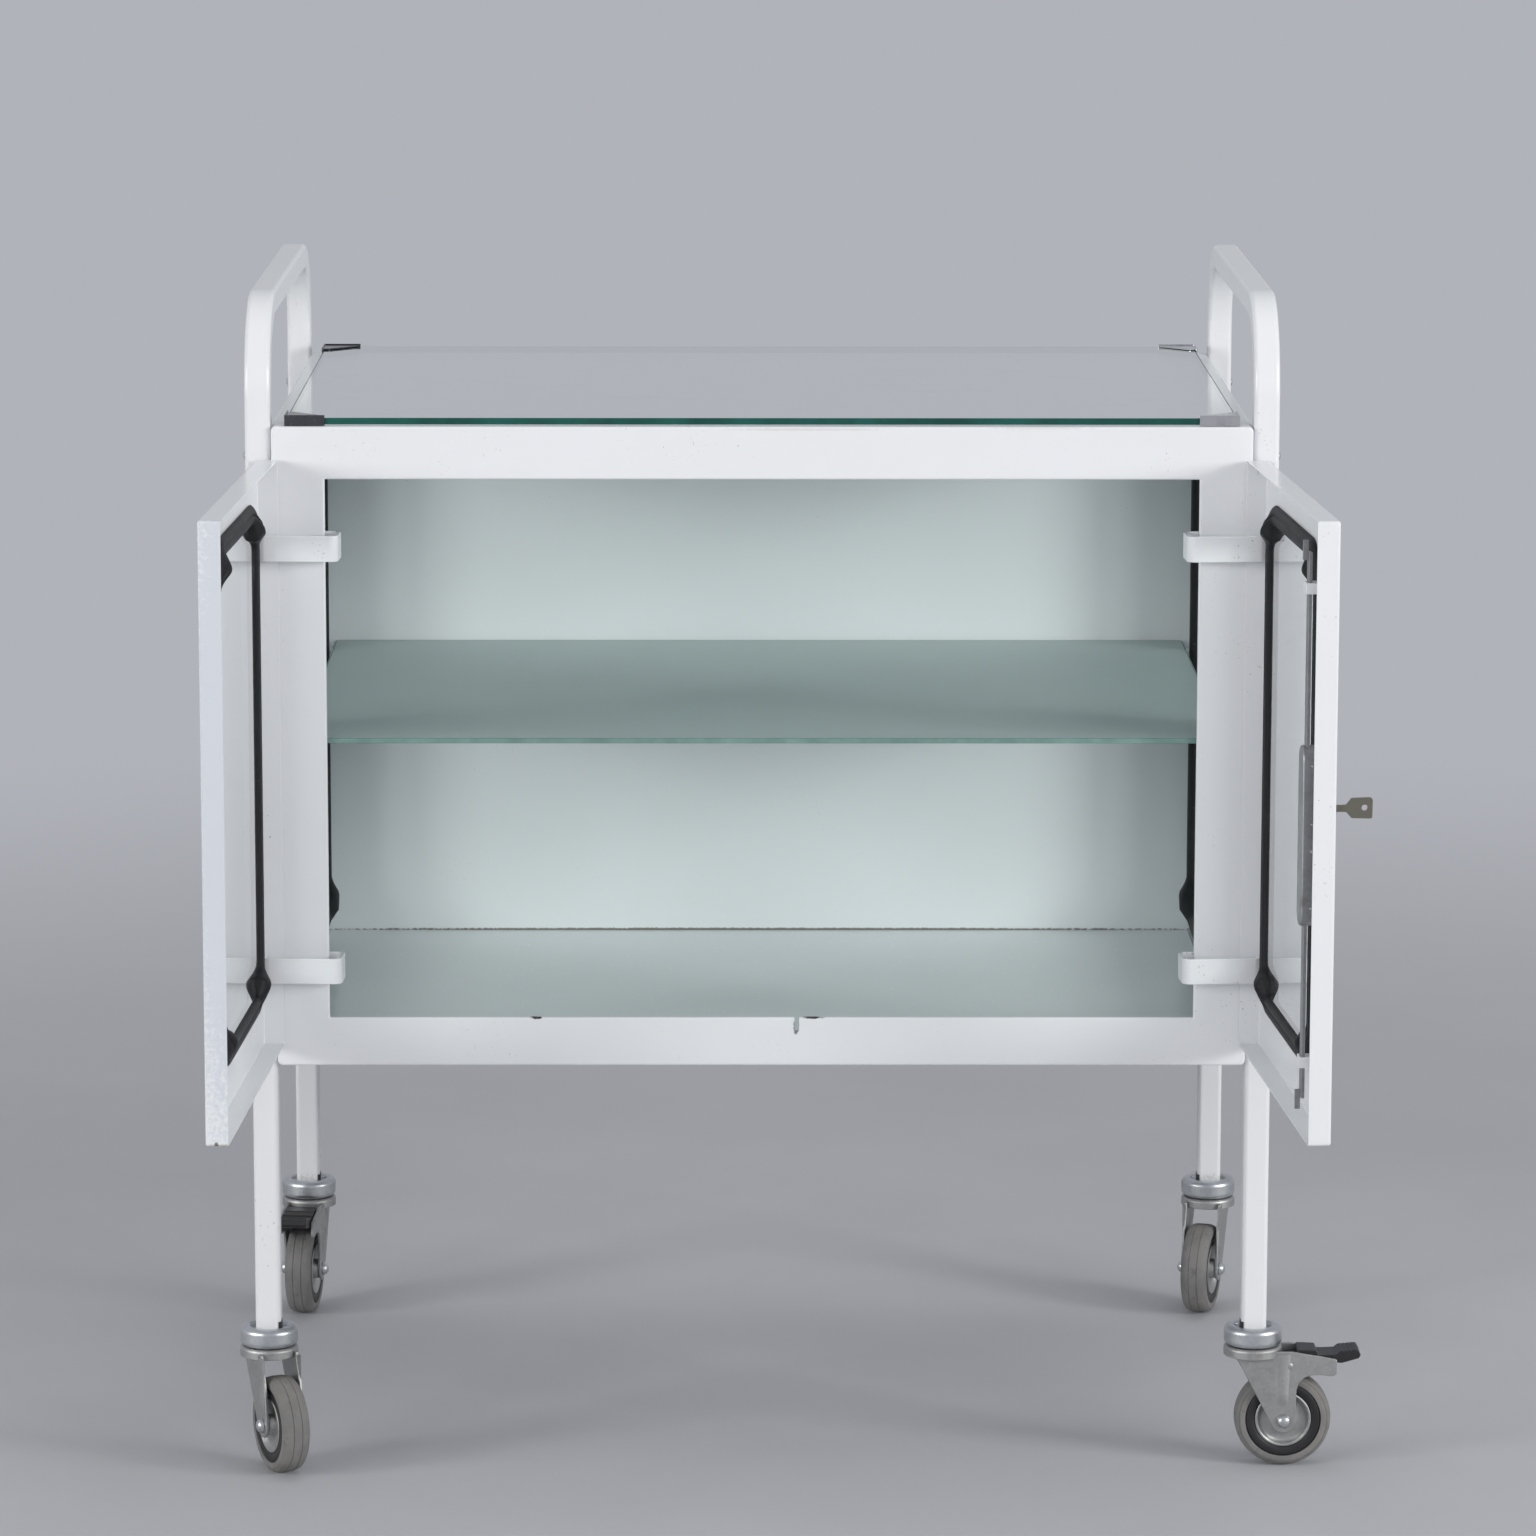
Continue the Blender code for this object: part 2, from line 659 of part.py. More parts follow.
def door_leaf():
    """Shut right door: a shallow pan with the window cut out."""
    low = (door_free_x, door_bottom)
    high = (door_hinge_x, door_top)
    leaf = extruded([rounded_rectangle(low, high, DOOR_CORNER)], door_face_y, door_rim_y, "XZ")
    inner_low = (low[0] + DOOR_SHEET, low[1] + DOOR_SHEET)
    inner_high = (high[0] - DOOR_SHEET, high[1] - DOOR_SHEET)
    hollow = rounded_rectangle(inner_low, inner_high, DOOR_CORNER - DOOR_SHEET)
    cut(leaf, extruded([hollow], door_inner_y, door_rim_y + OVERRUN, "XZ"))
    return cut(leaf, extruded([door_seal_outline(SEAL_LIP - SEAT_GAP)], door_face_y - OVERRUN, door_rim_y + OVERRUN, "XZ"))


def with_lock_fittings(leaf):
    """Plug hole and the two bridges that guide the rods."""
    cut(leaf, extruded([circle((lock_x, lock_z), PLUG_RADIUS + SEAT_GAP)], door_face_y - OVERRUN, door_inner_y + OVERRUN, "XZ"))
    inner = ROD_WIDTH / 2 + ROD_PLAY
    outer = inner + GUIDE_SHEET
    under = door_rim_y + ROD_THICKNESS + ROD_PLAY
    bridge = [
        (lock_x - outer, door_middle_y), (lock_x - inner, door_middle_y), (lock_x - inner, under), (lock_x + inner, under),
        (lock_x + inner, door_middle_y), (lock_x + outer, door_middle_y), (lock_x + outer, under + GUIDE_SHEET),
        (lock_x - outer, under + GUIDE_SHEET),
    ]
    for height in (opening_top - UPPER_GUIDE_MARGIN, opening_bottom + LOWER_GUIDE_MARGIN):
        joined(leaf, extruded([bridge], height - GUIDE_HEIGHT / 2, height + GUIDE_HEIGHT / 2, "XY"))
    return leaf


def hinge_arm():
    """Bent strip from the pin round the stile to the door's inner face, with a knuckle on the pin."""
    half = ARM_THICKNESS / 2
    foot_y = door_inner_y + SEAT_GAP + half - pin_y
    corners = [
        (0, PIN_RADIUS + SEAT_GAP + half), (0, ARM_REACH_BACK), (-ARM_REACH_IN, ARM_REACH_BACK),
        (-ARM_REACH_IN, foot_y), (-ARM_REACH_IN + ARM_FOOT, foot_y),
    ]
    strip = [(-half, -ARM_HEIGHT / 2), (half, -ARM_HEIGHT / 2), (half, ARM_HEIGHT / 2), (-half, ARM_HEIGHT / 2)]
    arm = swept(bent_path(corners, ARM_BEND, SMALL_STEPS + 1), strip, False, "XY")
    bore = PIN_RADIUS + SEAT_GAP
    joined(arm, extruded([circle((0, 0), bore + KNUCKLE_WALL)], -ARM_HEIGHT / 2, ARM_HEIGHT / 2, "XY"))
    return cut(arm, extruded([circle((0, 0), bore)], -ARM_HEIGHT, ARM_HEIGHT, "XY"))


def hinge_bracket():
    """Plate welded behind the stile with two round-ended lugs and the pin between them."""
    reach = ARM_HEIGHT / 2 + SEAT_GAP
    front = SHEET + SEAT_GAP - pin_y
    plate = box(
        (PIN_INSET - BRACKET_FAR, front, -reach - BRACKET_SHEET), (PIN_INSET - BRACKET_NEAR, front + BRACKET_SHEET, reach + BRACKET_SHEET))
    lug = [(-LUG_ROUND, front + BRACKET_SHEET / 2), (LUG_ROUND, front + BRACKET_SHEET / 2)] + arc((0, 0), LUG_ROUND, 0, math.pi, ROUND_STEPS // 2)
    joined(plate, extruded([lug], reach, reach + BRACKET_SHEET, "XY"), extruded([lug], -reach - BRACKET_SHEET, -reach, "XY"))
    pin = extruded([circle((0, 0), PIN_RADIUS)], -reach - BRACKET_SHEET / 2, reach + BRACKET_SHEET / 2, "XY")
    return joined(plate, pin)


def stadium(low, high):
    """Upright outline with fully round ends."""
    radius = (high[0] - low[0]) / 2
    middle = (low[0] + high[0]) / 2
    steps = ROUND_STEPS // 2
    return arc((middle, high[1] - radius), radius, 0, math.pi, steps) + arc((middle, low[1] + radius), radius, math.pi, math.tau, steps)


def lock_case():
    """Round-ended cover, open towards the door skin, slotted at both ends for the rods."""
    back, front = door_inner_y + SEAT_GAP, door_rim_y + CASE_PROUD
    side = CASE_WIDTH / 2
    case = extruded([stadium((lock_x - side, case_bottom), (lock_x + side, case_top))], back, front, "XZ")
    softened(case, lambda p: p.y > front - WELD, CASE_EDGE, SMALL_STEPS)
    room = side - CASE_WALL
    inside = stadium((lock_x - room, case_bottom + CASE_WALL), (lock_x + room, case_top - CASE_WALL))
    cut(case, extruded([inside], back - OVERRUN, front - CASE_WALL, "XZ"))
    near, far = lock_x - ROD_WIDTH / 2 - ROD_PLAY, lock_x + ROD_WIDTH / 2 + ROD_PLAY
    low, high = door_rim_y - ROD_PLAY, door_rim_y + ROD_THICKNESS + ROD_PLAY
    cut(case, box((near, low, case_top - side), (far, high, case_top + OVERRUN)))
    return cut(case, box((near, low, case_bottom - OVERRUN), (far, high, case_bottom + side)))


def lock_collar():
    """Turned rosette round the plug, tapering to its face."""
    bore = PLUG_RADIUS + SEAT_GAP
    back = door_face_y - SEAT_GAP
    front = back - COLLAR_HEIGHT
    step = COLLAR_HEIGHT * collar_shoulder_share
    profile = [(bore, front), (COLLAR_FACE_RADIUS, front), (COLLAR_RADIUS, back - step), (COLLAR_RADIUS, back), (bore, back)]
    return turned(profile, TURNED_STEPS, "XZ", True)


def lock_plug():
    """Plug in the collar with its drum inside the case and the keyway down its axis."""
    front = door_face_y - SEAT_GAP - COLLAR_HEIGHT + PLUG_SINK
    shoulder = door_inner_y + PLUG_SHOULDER
    end = door_rim_y + CASE_PROUD - CASE_WALL - SEAT_GAP
    plug = turned([(0, front), (PLUG_RADIUS, front), (PLUG_RADIUS, shoulder), (DRUM_RADIUS, shoulder), (DRUM_RADIUS, end), (0, end)], TURNED_STEPS, "XZ")
    slot_x, slot_z = KEY_THICKNESS / 2 + SEAT_GAP, BLADE_WIDTH / 2 + SEAT_GAP
    return cut(plug, box((-slot_x, front - OVERRUN, -slot_z), (slot_x, front + BLADE_DEPTH + SEAT_GAP, slot_z)))


def key():
    """Flat key: blade in the plug and a round-cornered bow with one hole."""
    face = door_face_y - SEAT_GAP - COLLAR_HEIGHT + PLUG_SINK
    tip = face + BLADE_DEPTH
    shoulder = face - KEY_STANDOUT
    end = shoulder - BOW_LENGTH
    body = extruded([rounded_rectangle((end, -BOW_WIDTH / 2), (shoulder, BOW_WIDTH / 2), BOW_ROUND)], -KEY_THICKNESS / 2, KEY_THICKNESS / 2, "YZ")
    blade = box((-KEY_THICKNESS / 2, shoulder - BOW_LENGTH / 2, -BLADE_WIDTH / 2), (KEY_THICKNESS / 2, tip, BLADE_WIDTH / 2))
    joined(body, blade)
    hole = extruded([circle((end + BOW_HOLE + BOW_ROUND / 2, 0), BOW_HOLE, TURNED_STEPS // 2)], -KEY_THICKNESS, KEY_THICKNESS, "YZ")
    return cut(body, hole)


def lock_rod(up):
    """Flat rod for one end of the doorway, drawn upwards and mirrored for the lower one.

    Its wide part runs from above the drum to short of the frame. A narrow tail passes the drum on one
    side, and a thin hook stands on its outer end.
    """
    sense = 1 if up else -1
    doorway = opening_top if up else opening_bottom
    wide = ROD_WIDTH / 2
    tail_far = CASE_WIDTH / 2 - CASE_WALL - ROD_PLAY
    tail_near = DRUM_RADIUS + DRUM_PLAY
    root = lock_z + sense * (DRUM_RADIUS + ROD_DRUM_GAP)
    tail_end = lock_z - sense * TAIL_OVERLAP
    outer_end = doorway - sense * ROD_END_MARGIN
    outline = [
        (lock_x - sense * tail_far, tail_end), (lock_x - sense * tail_near, tail_end), (lock_x - sense * tail_near, root),
        (lock_x + sense * wide, root), (lock_x + sense * wide, outer_end), (lock_x - sense * wide, outer_end),
        (lock_x - sense * wide, root + sense * ROD_JOG), (lock_x - sense * tail_far, root + sense * ROD_JOG),
    ]
    rod = extruded([outline], door_rim_y, door_rim_y + ROD_THICKNESS, "XZ")
    ends = sorted((outer_end - sense * HOOK_ROOT, doorway - sense * HOOK_CLEARANCE))
    half = HOOK_THICKNESS / 2
    return joined(rod, box((lock_x - half, door_rim_y - HOOK_IN, ends[0]), (lock_x + half, door_rim_y + HOOK_OUT, ends[1])))


def caster_head():
    """Turned ring that the leg stands in, with the stem above and the king pin below."""
    seat = LEG_BOTTOM - SEAT_GAP
    bottom = LEG_BOTTOM - HEAD_HEIGHT
    top = LEG_BOTTOM + HEAD_RISE
    pin_end = crown_bottom - SEAT_GAP
    profile = [(0, LEG_BOTTOM + STEM_HEIGHT), (STEM_RADIUS, LEG_BOTTOM + STEM_HEIGHT), (STEM_RADIUS, seat), (HEAD_RECESS, seat), (HEAD_RECESS + HEAD_ROUND, top)]
    profile += [(HEAD_RADIUS - HEAD_ROUND, top), (HEAD_RADIUS, top - HEAD_ROUND), (HEAD_RADIUS, bottom + HEAD_ROUND), (HEAD_RADIUS - HEAD_ROUND, bottom)]
    profile += [(KING_PIN_RADIUS, bottom), (KING_PIN_RADIUS, pin_end), (KING_HEAD_RADIUS, pin_end), (KING_HEAD_RADIUS, pin_end - KING_HEAD_HEIGHT), (0, pin_end - KING_HEAD_HEIGHT)]
    return turned(profile, TURNED_STEPS, "XY")


def fork(braked):
    """Crown with skirt and two tapering side plates; a braked one runs back into the pedal housing."""
    hole = KING_PIN_RADIUS + SEAT_GAP
    inside = HEAD_RADIUS - PLATE_THICKNESS
    skirt = crown_top - CROWN_SKIRT
    crown = turned([(hole, crown_top), (HEAD_RADIUS, crown_top), (HEAD_RADIUS, skirt), (inside, skirt), (inside, crown_bottom), (hole, crown_bottom)], TURNED_STEPS, "XY", True)
    axle = (CASTER_TRAIL, WHEEL_RADIUS)
    root = crown_bottom + CROWN_THICKNESS / 2
    front = (-PLATE_FRONT, crown_bottom - PLATE_SHOULDER)
    rear = (PLATE_REAR, crown_bottom - PLATE_SHOULDER)
    outline = [(PLATE_REAR, root), (-PLATE_FRONT, root), front]
    end_start = tangent_angle(front, axle, PLATE_END_RADIUS, 1)
    end_stop = tangent_angle(rear, axle, PLATE_END_RADIUS, -1) + math.tau
    outline += arc(axle, PLATE_END_RADIUS, end_start, end_stop, ROUND_STEPS // 2)
    if braked:
        arch = WHEEL_RADIUS + HOUSING_ARCH_GAP
        low = HOUSING_TOP - HOUSING_HEIGHT
        outline += arc(axle, arch, math.acos((PLATE_REAR + PLATE_THICKNESS - axle[0]) / arch), math.asin((low - axle[1]) / arch), CORNER_STEPS)
        outline += [(HOUSING_REACH, low)]
        outline += arc((HOUSING_REACH - HOUSING_CORNER, HOUSING_TOP - HOUSING_CORNER), HOUSING_CORNER, 0, math.pi / 2, SMALL_STEPS)
        outline += [(PLATE_REAR, HOUSING_TOP)]
    else:
        outline += [rear]
    hole = circle(axle, AXLE_RADIUS + SEAT_GAP)
    for low, high in ((plate_inner, plate_inner + PLATE_THICKNESS), (-plate_inner - PLATE_THICKNESS, -plate_inner)):
        joined(crown, extruded([outline, hole], low, high, "XZ"))
    if braked:
        middle = plate_inner + PLATE_THICKNESS / 2
        roof = box((PLATE_REAR - PLATE_THICKNESS, -middle, HOUSING_TOP - PLATE_THICKNESS / 2), (HOUSING_ROOF, middle, HOUSING_TOP - SEAT_GAP))
        pin = extruded([circle((PEDAL_PIVOT_X, PEDAL_PIVOT_Z), PEDAL_PIN_RADIUS)], -middle, middle, "XZ")
        joined(crown, roof, pin)
    return crown


def wheel_body():
    """Hub, dished disc and rim in one, turned about the axle."""
    rim = WHEEL_RADIUS - TYRE_HEIGHT - SEAT_GAP
    half = [
        (AXLE_RADIUS + SEAT_GAP, HUB_HALF_WIDTH), (HUB_RADIUS, HUB_HALF_WIDTH), (HUB_RADIUS + PLATE_THICKNESS, DISC_HALF_WIDTH + HUB_RADIUS / 4),
        (rim - RIM_HEIGHT - PLATE_THICKNESS, DISC_HALF_WIDTH), (rim - RIM_HEIGHT, RIM_HALF_WIDTH), (rim, RIM_HALF_WIDTH),
    ]
    return turned(half + [(r, -h) for r, h in reversed(half)], TURNED_STEPS, "XZ", True)


def tyre():
    """Tyre with round shoulders."""
    inner = WHEEL_RADIUS - TYRE_HEIGHT
    half = [(inner, TYRE_HALF_WIDTH)]
    for along, across in tyre_shoulder_shares:
        half.append((inner + TYRE_HEIGHT * along, TYRE_HALF_WIDTH * across))
    return turned(half + [(r, -h) for r, h in reversed(half)], WHEEL_STEPS, "XZ", True)


def axle():
    """Bolt through the fork with a domed nut at each end."""
    face = plate_inner + PLATE_THICKNESS + SEAT_GAP
    half = [(0, face + NUT_HEIGHT), (NUT_RADIUS / 2, face + NUT_HEIGHT), (NUT_RADIUS, face + NUT_HEIGHT / 2), (NUT_RADIUS, face), (AXLE_RADIUS, face)]
    return turned(half + [(r, -h) for r, h in reversed(half)], ROUND_STEPS, "XZ")


def brake_pedal():
    """Moulded pedal on its pin, with the release button in front and the tread at the tip."""
    x, z = PEDAL_PIVOT_X, PEDAL_PIVOT_Z
    outline = arc((0, 0), PEDAL_BOSS_RADIUS, math.pi / 2, math.pi * 1.5, ROUND_STEPS // 2)
    outline += [
        (BUTTON_START - x, PEDAL_BELLY - z), (HOUSING_REACH - x, PEDAL_TIP_BOTTOM - z), (PEDAL_REACH - x, PEDAL_TIP_BOTTOM - z),
        (PEDAL_REACH - x, PEDAL_WAIST - z), (PEDAL_REACH - HOUSING_CORNER - x, PEDAL_TIP_TOP - z), (HOUSING_REACH - x, PEDAL_TIP_TOP - z),
        (HOUSING_REACH - HOUSING_CORNER - x, PEDAL_WAIST - z), (BUTTON_END - x, PEDAL_WAIST - z), (BUTTON_END - x, PEDAL_TIP_TOP - z),
        (BUTTON_START - x, PEDAL_TIP_TOP - z), (BUTTON_START - x, PEDAL_BOSS_RADIUS),
    ]
    side = plate_inner - PEDAL_SIDE_PLAY
    return extruded([outline, circle((0, 0), PEDAL_PIN_RADIUS + SEAT_GAP)], -side, side, "XZ")


def build_frames_and_cabinet():
    finish(side_frame(), "side_frame_right", "white_lacquer", root)
    finish(mirrored(side_frame(), x=-1), "side_frame_left", "white_lacquer", root)
    finish(front_frame(), "front_frame", "white_lacquer", root)
    back = pan((-half_width, back_face, CABINET_BOTTOM), (half_width, CABINET_DEPTH, cabinet_top), SHEET, 1, 1)
    finish(back, "back_panel", "white_lacquer", root)
    top = pan((-half_width, pan_front, cabinet_top - TOP_FLANGE), (half_width, pan_rear, cabinet_top), SHEET, 2, -1)
    finish(top, "top_panel", "white_lacquer", root)
    floor_x = side_inner - SEAT_GAP
    floor_low = (-floor_x, SHEET + SEAT_GAP, CABINET_BOTTOM + SHEET + SEAT_GAP)
    floor = pan(floor_low, (floor_x, pan_rear, CABINET_BOTTOM + FLOOR_RISE), SHEET, 2, -1)
    finish(floor, "floor_panel", "white_lacquer", root)
    for side, word in ((1, "right"), (-1, "left")):
        finish(mirrored(side_panel(), x=side), f"side_panel_{word}", "white_lacquer", root)
        seal = swept(side_seal_outline(0), seal_section(SHEET), True, "YZ", 0)
        finish(mirrored(moved(seal, (side_middle, 0, 0)), x=side), f"side_seal_{word}", "black_rubber", root)
        half = PANE_THICKNESS / 2
        pane = extruded([side_seal_outline(SEAL_WIDTH - SEAL_LIP + SEAT_GAP)], side_middle - half, side_middle + half, "YZ")
        finish(mirrored(pane, x=side), f"side_glass_{word}", "clear_glass", root)


def build_glass():
    shelf_x = side_inner - SHELF_SIDE_PLAY
    shelf = rounded_rectangle((-shelf_x, SHELF_FRONT), (shelf_x, back_face - SHELF_REAR_PLAY), SHELF_CORNER)
    finish(extruded([shelf], SHELF_TOP - SHELF_THICKNESS, SHELF_TOP, "XY"), "shelf_glass", "frosted_glass", root)
    bottom = cabinet_top + WORK_TOP_LIFT
    work_top = rounded_rectangle((-work_top_x, WORK_TOP_FRONT), (work_top_x, work_top_rear), WORK_TOP_CORNER)
    finish(extruded([work_top], bottom, bottom + WORK_TOP_THICKNESS, "XY"), "work_top_glass", "clear_glass", root)
    middle = (WORK_TOP_FRONT + work_top_rear) / 2
    for x_word, x in (("right", 1), ("left", -1)):
        for y_word, y in (("front", 1), ("rear", -1)):
            clip = moved(mirrored(moved(corner_clip(), (0, -middle, 0)), x, y), (0, middle, 0))
            finish(clip, f"glass_clip_{y_word}_{x_word}", "chrome", root)


def build_doors():
    for side, word, opening in ((1, "right", DOOR_OPEN_RIGHT), (-1, "left", DOOR_OPEN_LEFT)):
        axis = empty(f"door_{word}_axis", root, (side * pin_x, pin_y, 0), side * opening)
        shift = (-pin_x, -pin_y, 0)
        leaf = door_leaf()
        if side > 0:
            with_lock_fittings(leaf)
        finish(mirrored(moved(leaf, shift), x=side), f"door_{word}", "white_lacquer", axis)
        seal = moved(swept(door_seal_outline(0), seal_section(DOOR_SHEET), True, "XZ", 0), (0, door_middle_y, 0))
        finish(mirrored(moved(seal, shift), x=side), f"door_seal_{word}", "black_rubber", axis)
        half = PANE_THICKNESS / 2
        pane = extruded([door_seal_outline(SEAL_WIDTH - SEAL_LIP + SEAT_GAP)], door_middle_y - half, door_middle_y + half, "XZ")
        finish(mirrored(moved(pane, shift), x=side), f"door_glass_{word}", "clear_glass", axis)
        arm = finish(mirrored(hinge_arm(), x=side), f"hinge_arm_{word}_upper", "white_lacquer", axis, (0, 0, upper_hinge))
        repeat(arm, f"hinge_arm_{word}_lower", axis, (0, 0, lower_hinge))
        place = (side * pin_x, pin_y, upper_hinge)
        bracket = finish(mirrored(hinge_bracket(), x=side), f"hinge_bracket_{word}_upper", "white_lacquer", root, place)
        repeat(bracket, f"hinge_bracket_{word}_lower", root, (side * pin_x, pin_y, lower_hinge))
        if side > 0:
            build_lock(axis, shift)


def build_lock(axis, shift):
    """Lock of the right door. The plug and the key turn about the plug's own axis."""
    centre = (lock_x - pin_x, -pin_y, lock_z)
    finish(moved(lock_case(), shift), "lock_case", "galvanised_zinc", axis)
    finish(lock_collar(), "lock_collar", "chrome", axis, centre)
    finish(lock_plug(), "lock_cylinder", "nickel", axis, centre)
    finish(key(), "key", "nickel", axis, centre)
    finish(moved(lock_rod(True), shift), "upper_rod", "galvanised_zinc", axis)
    finish(moved(lock_rod(False), shift), "lower_rod", "galvanised_zinc", axis)


def build_casters():
    corners = (
        ("front_left", -tube_x, front_leg_y, FRONT_LEFT_HEADING, False),
        ("front_right", tube_x, front_leg_y, FRONT_RIGHT_HEADING, True),
        ("rear_left", -tube_x, rear_leg_y, REAR_LEFT_HEADING, True),
        ("rear_right", tube_x, rear_leg_y, REAR_RIGHT_HEADING, False),
    )
    first = {}

    def put(piece, make, corner, look, parent, place):
        name = f"caster_{corner}_{piece.split('_')[0]}"
        if piece in first:
            repeat(first[piece], name, parent, place)
        else:
            first[piece] = finish(make(), name, look, parent, place)

    for corner, x, y, heading, braked in corners:
        swivel = empty(f"caster_{corner}_swivel", root, (x, y, 0), heading)
        hub = (CASTER_TRAIL, 0, WHEEL_RADIUS)
        put("head", caster_head, corner, "galvanised_zinc", root, (x, y, 0))
        put("fork_braked" if braked else "fork_plain", lambda: fork(braked), corner, "galvanised_zinc", swivel, (0, 0, 0))
        put("axle", axle, corner, "galvanised_zinc", swivel, hub)
        put("wheel", wheel_body, corner, "black_plastic", swivel, hub)
        put("tyre", tyre, corner, "grey_tyre", swivel, hub)
        if braked:
            put("pedal", brake_pedal, corner, "black_plastic", swivel, (PEDAL_PIVOT_X, 0, PEDAL_PIVOT_Z))


parts, shaping = clear_scene()
materials = make_materials()
centre_x, centre_y = object_centre()
root = empty("trolley", None, (-centre_x, -centre_y, 0))
build_frames_and_cabinet()
build_glass()
build_doors()
build_casters()
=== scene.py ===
import bmesh
import bpy
import json
import math
import numpy as np
from mathutils import Matrix, Vector


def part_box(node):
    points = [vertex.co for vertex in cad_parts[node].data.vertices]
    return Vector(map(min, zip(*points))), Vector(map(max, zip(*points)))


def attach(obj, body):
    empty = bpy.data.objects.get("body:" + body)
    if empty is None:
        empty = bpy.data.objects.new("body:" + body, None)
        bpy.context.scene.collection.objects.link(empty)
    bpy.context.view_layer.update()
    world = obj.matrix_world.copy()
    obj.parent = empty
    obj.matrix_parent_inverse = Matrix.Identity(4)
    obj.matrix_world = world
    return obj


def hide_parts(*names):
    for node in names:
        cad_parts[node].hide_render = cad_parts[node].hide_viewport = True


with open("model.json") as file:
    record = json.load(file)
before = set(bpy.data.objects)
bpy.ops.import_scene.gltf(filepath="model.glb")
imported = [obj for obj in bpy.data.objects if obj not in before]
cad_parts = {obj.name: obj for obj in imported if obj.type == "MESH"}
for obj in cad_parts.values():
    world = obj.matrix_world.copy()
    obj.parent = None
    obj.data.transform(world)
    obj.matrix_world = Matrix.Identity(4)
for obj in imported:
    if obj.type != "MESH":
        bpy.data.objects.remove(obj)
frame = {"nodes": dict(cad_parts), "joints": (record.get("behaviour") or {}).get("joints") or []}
for left_over in ("Cube", "Light", "Camera"):
    if left_over in bpy.data.objects:
        bpy.data.objects.remove(bpy.data.objects[left_over])
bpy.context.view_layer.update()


# STUDIO
# A plain pale floor that melts into an even cool grey, soft lamps in front, at both sides and
# overhead, and the camera in front, looking slightly down.
class Signal:
    """One output of a shader node. Sums, differences and products of it become Math nodes."""

    def __init__(self, tree, socket=None):
        self.tree = tree
        self.socket = socket

    def node(self, kind, settings=None, plugs=None, out=0):
        """A new node of this kind. Its settings are set first, then the values or signals of its sockets."""
        made = self.tree.nodes.new("ShaderNode" + kind)
        for key, value in (settings or {}).items():
            if key == "stops":
                made.color_ramp.elements[0].position, made.color_ramp.elements[0].color = value[0]
                made.color_ramp.elements[1].position, made.color_ramp.elements[1].color = value[-1]
                for where, colour in value[1:-1]:
                    made.color_ramp.elements.new(where).color = colour
            else:
                setattr(made, key, value)
        for key, value in (plugs or {}).items():
            if isinstance(value, Signal):
                self.tree.links.new(value.socket, made.inputs[key])
            else:
                made.inputs[key].default_value = value
        return Signal(self.tree, made.outputs[out])

    def maths(self, operation, *values):
        return self.node("Math", {"operation": operation}, dict(enumerate(values)))

    def __add__(self, other):
        return self.maths("ADD", self, other)

    def __radd__(self, other):
        return self.maths("ADD", other, self)

    def __rsub__(self, other):
        return self.maths("SUBTRACT", other, self)

    def __mul__(self, other):
        return self.maths("MULTIPLY", self, other)

    def __rmul__(self, other):
        return self.maths("MULTIPLY", other, self)

    def least(self, other):
        return self.maths("MINIMUM", self, other)

    def most(self, other):
        return self.maths("MAXIMUM", self, other)

    def fade(self, low, high):
        """0 at low and 1 at high, with an easy start and stop."""
        levels = {"Value": self, "From Min": low, "From Max": high}
        return self.node("MapRange", {"interpolation_type": "SMOOTHSTEP"}, levels)

    def between(self, first, second, kind="MIX"):
        """The two colours mixed by this signal."""
        first, second = (c if isinstance(c, Signal) else (*c, 1.0) for c in (first, second))
        return self.node("Mix", {"data_type": "RGBA", "blend_type": kind}, {0: self, 6: first, 7: second}, 2)

    def stretched(self, scale):
        """These coordinates with each direction scaled."""
        return self.node("Mapping", {}, {"Vector": self, "Scale": scale})

    def noise(self, scale, detail=2.0, rough=0.5):
        """Cloudy noise on these coordinates, from 0 to 1."""
        plugs = {"Vector": self, "Scale": scale, "Detail": detail, "Roughness": rough}
        return self.node("TexNoise", {}, plugs)

    def bump(self, strength, distance, height, below=None):
        """The normal of a surface raised by height, on top of the normal below if there is one."""
        plugs = {"Strength": strength, "Distance": distance, "Height": height}
        if below:
            plugs["Normal"] = below
        return self.node("Bump", {}, plugs)

    def solid(self, colour, rough, normal, others=None):
        """A Principled surface. Others holds the values of its further sockets."""
        plugs = {"Base Color": colour, "Roughness": rough, "Normal": normal, **(others or {})}
        return self.node("BsdfPrincipled", {}, plugs)


def material(name, paint):
    """A material whose surface is what paint returns for a signal of its node tree."""
    made = bpy.data.materials.new(name)
    made.use_nodes = True
    tree = made.node_tree
    tree.nodes.clear()
    surface = paint(Signal(tree))
    tree.links.new(surface.socket, tree.nodes.new("ShaderNodeOutputMaterial").inputs["Surface"])
    return made


backdrop_colour = (0.44, 0.45, 0.49)


def seen_directly(start):
    """1 for what the camera, a reflection or a view through glass sees, 0 for the light on the object."""
    kinds = ("Is Camera Ray", "Is Glossy Ray", "Is Transmission Ray")
    camera, glossy, through = [start.node("LightPath", out=kind) for kind in kinds]
    return camera.most(glossy.most(through))


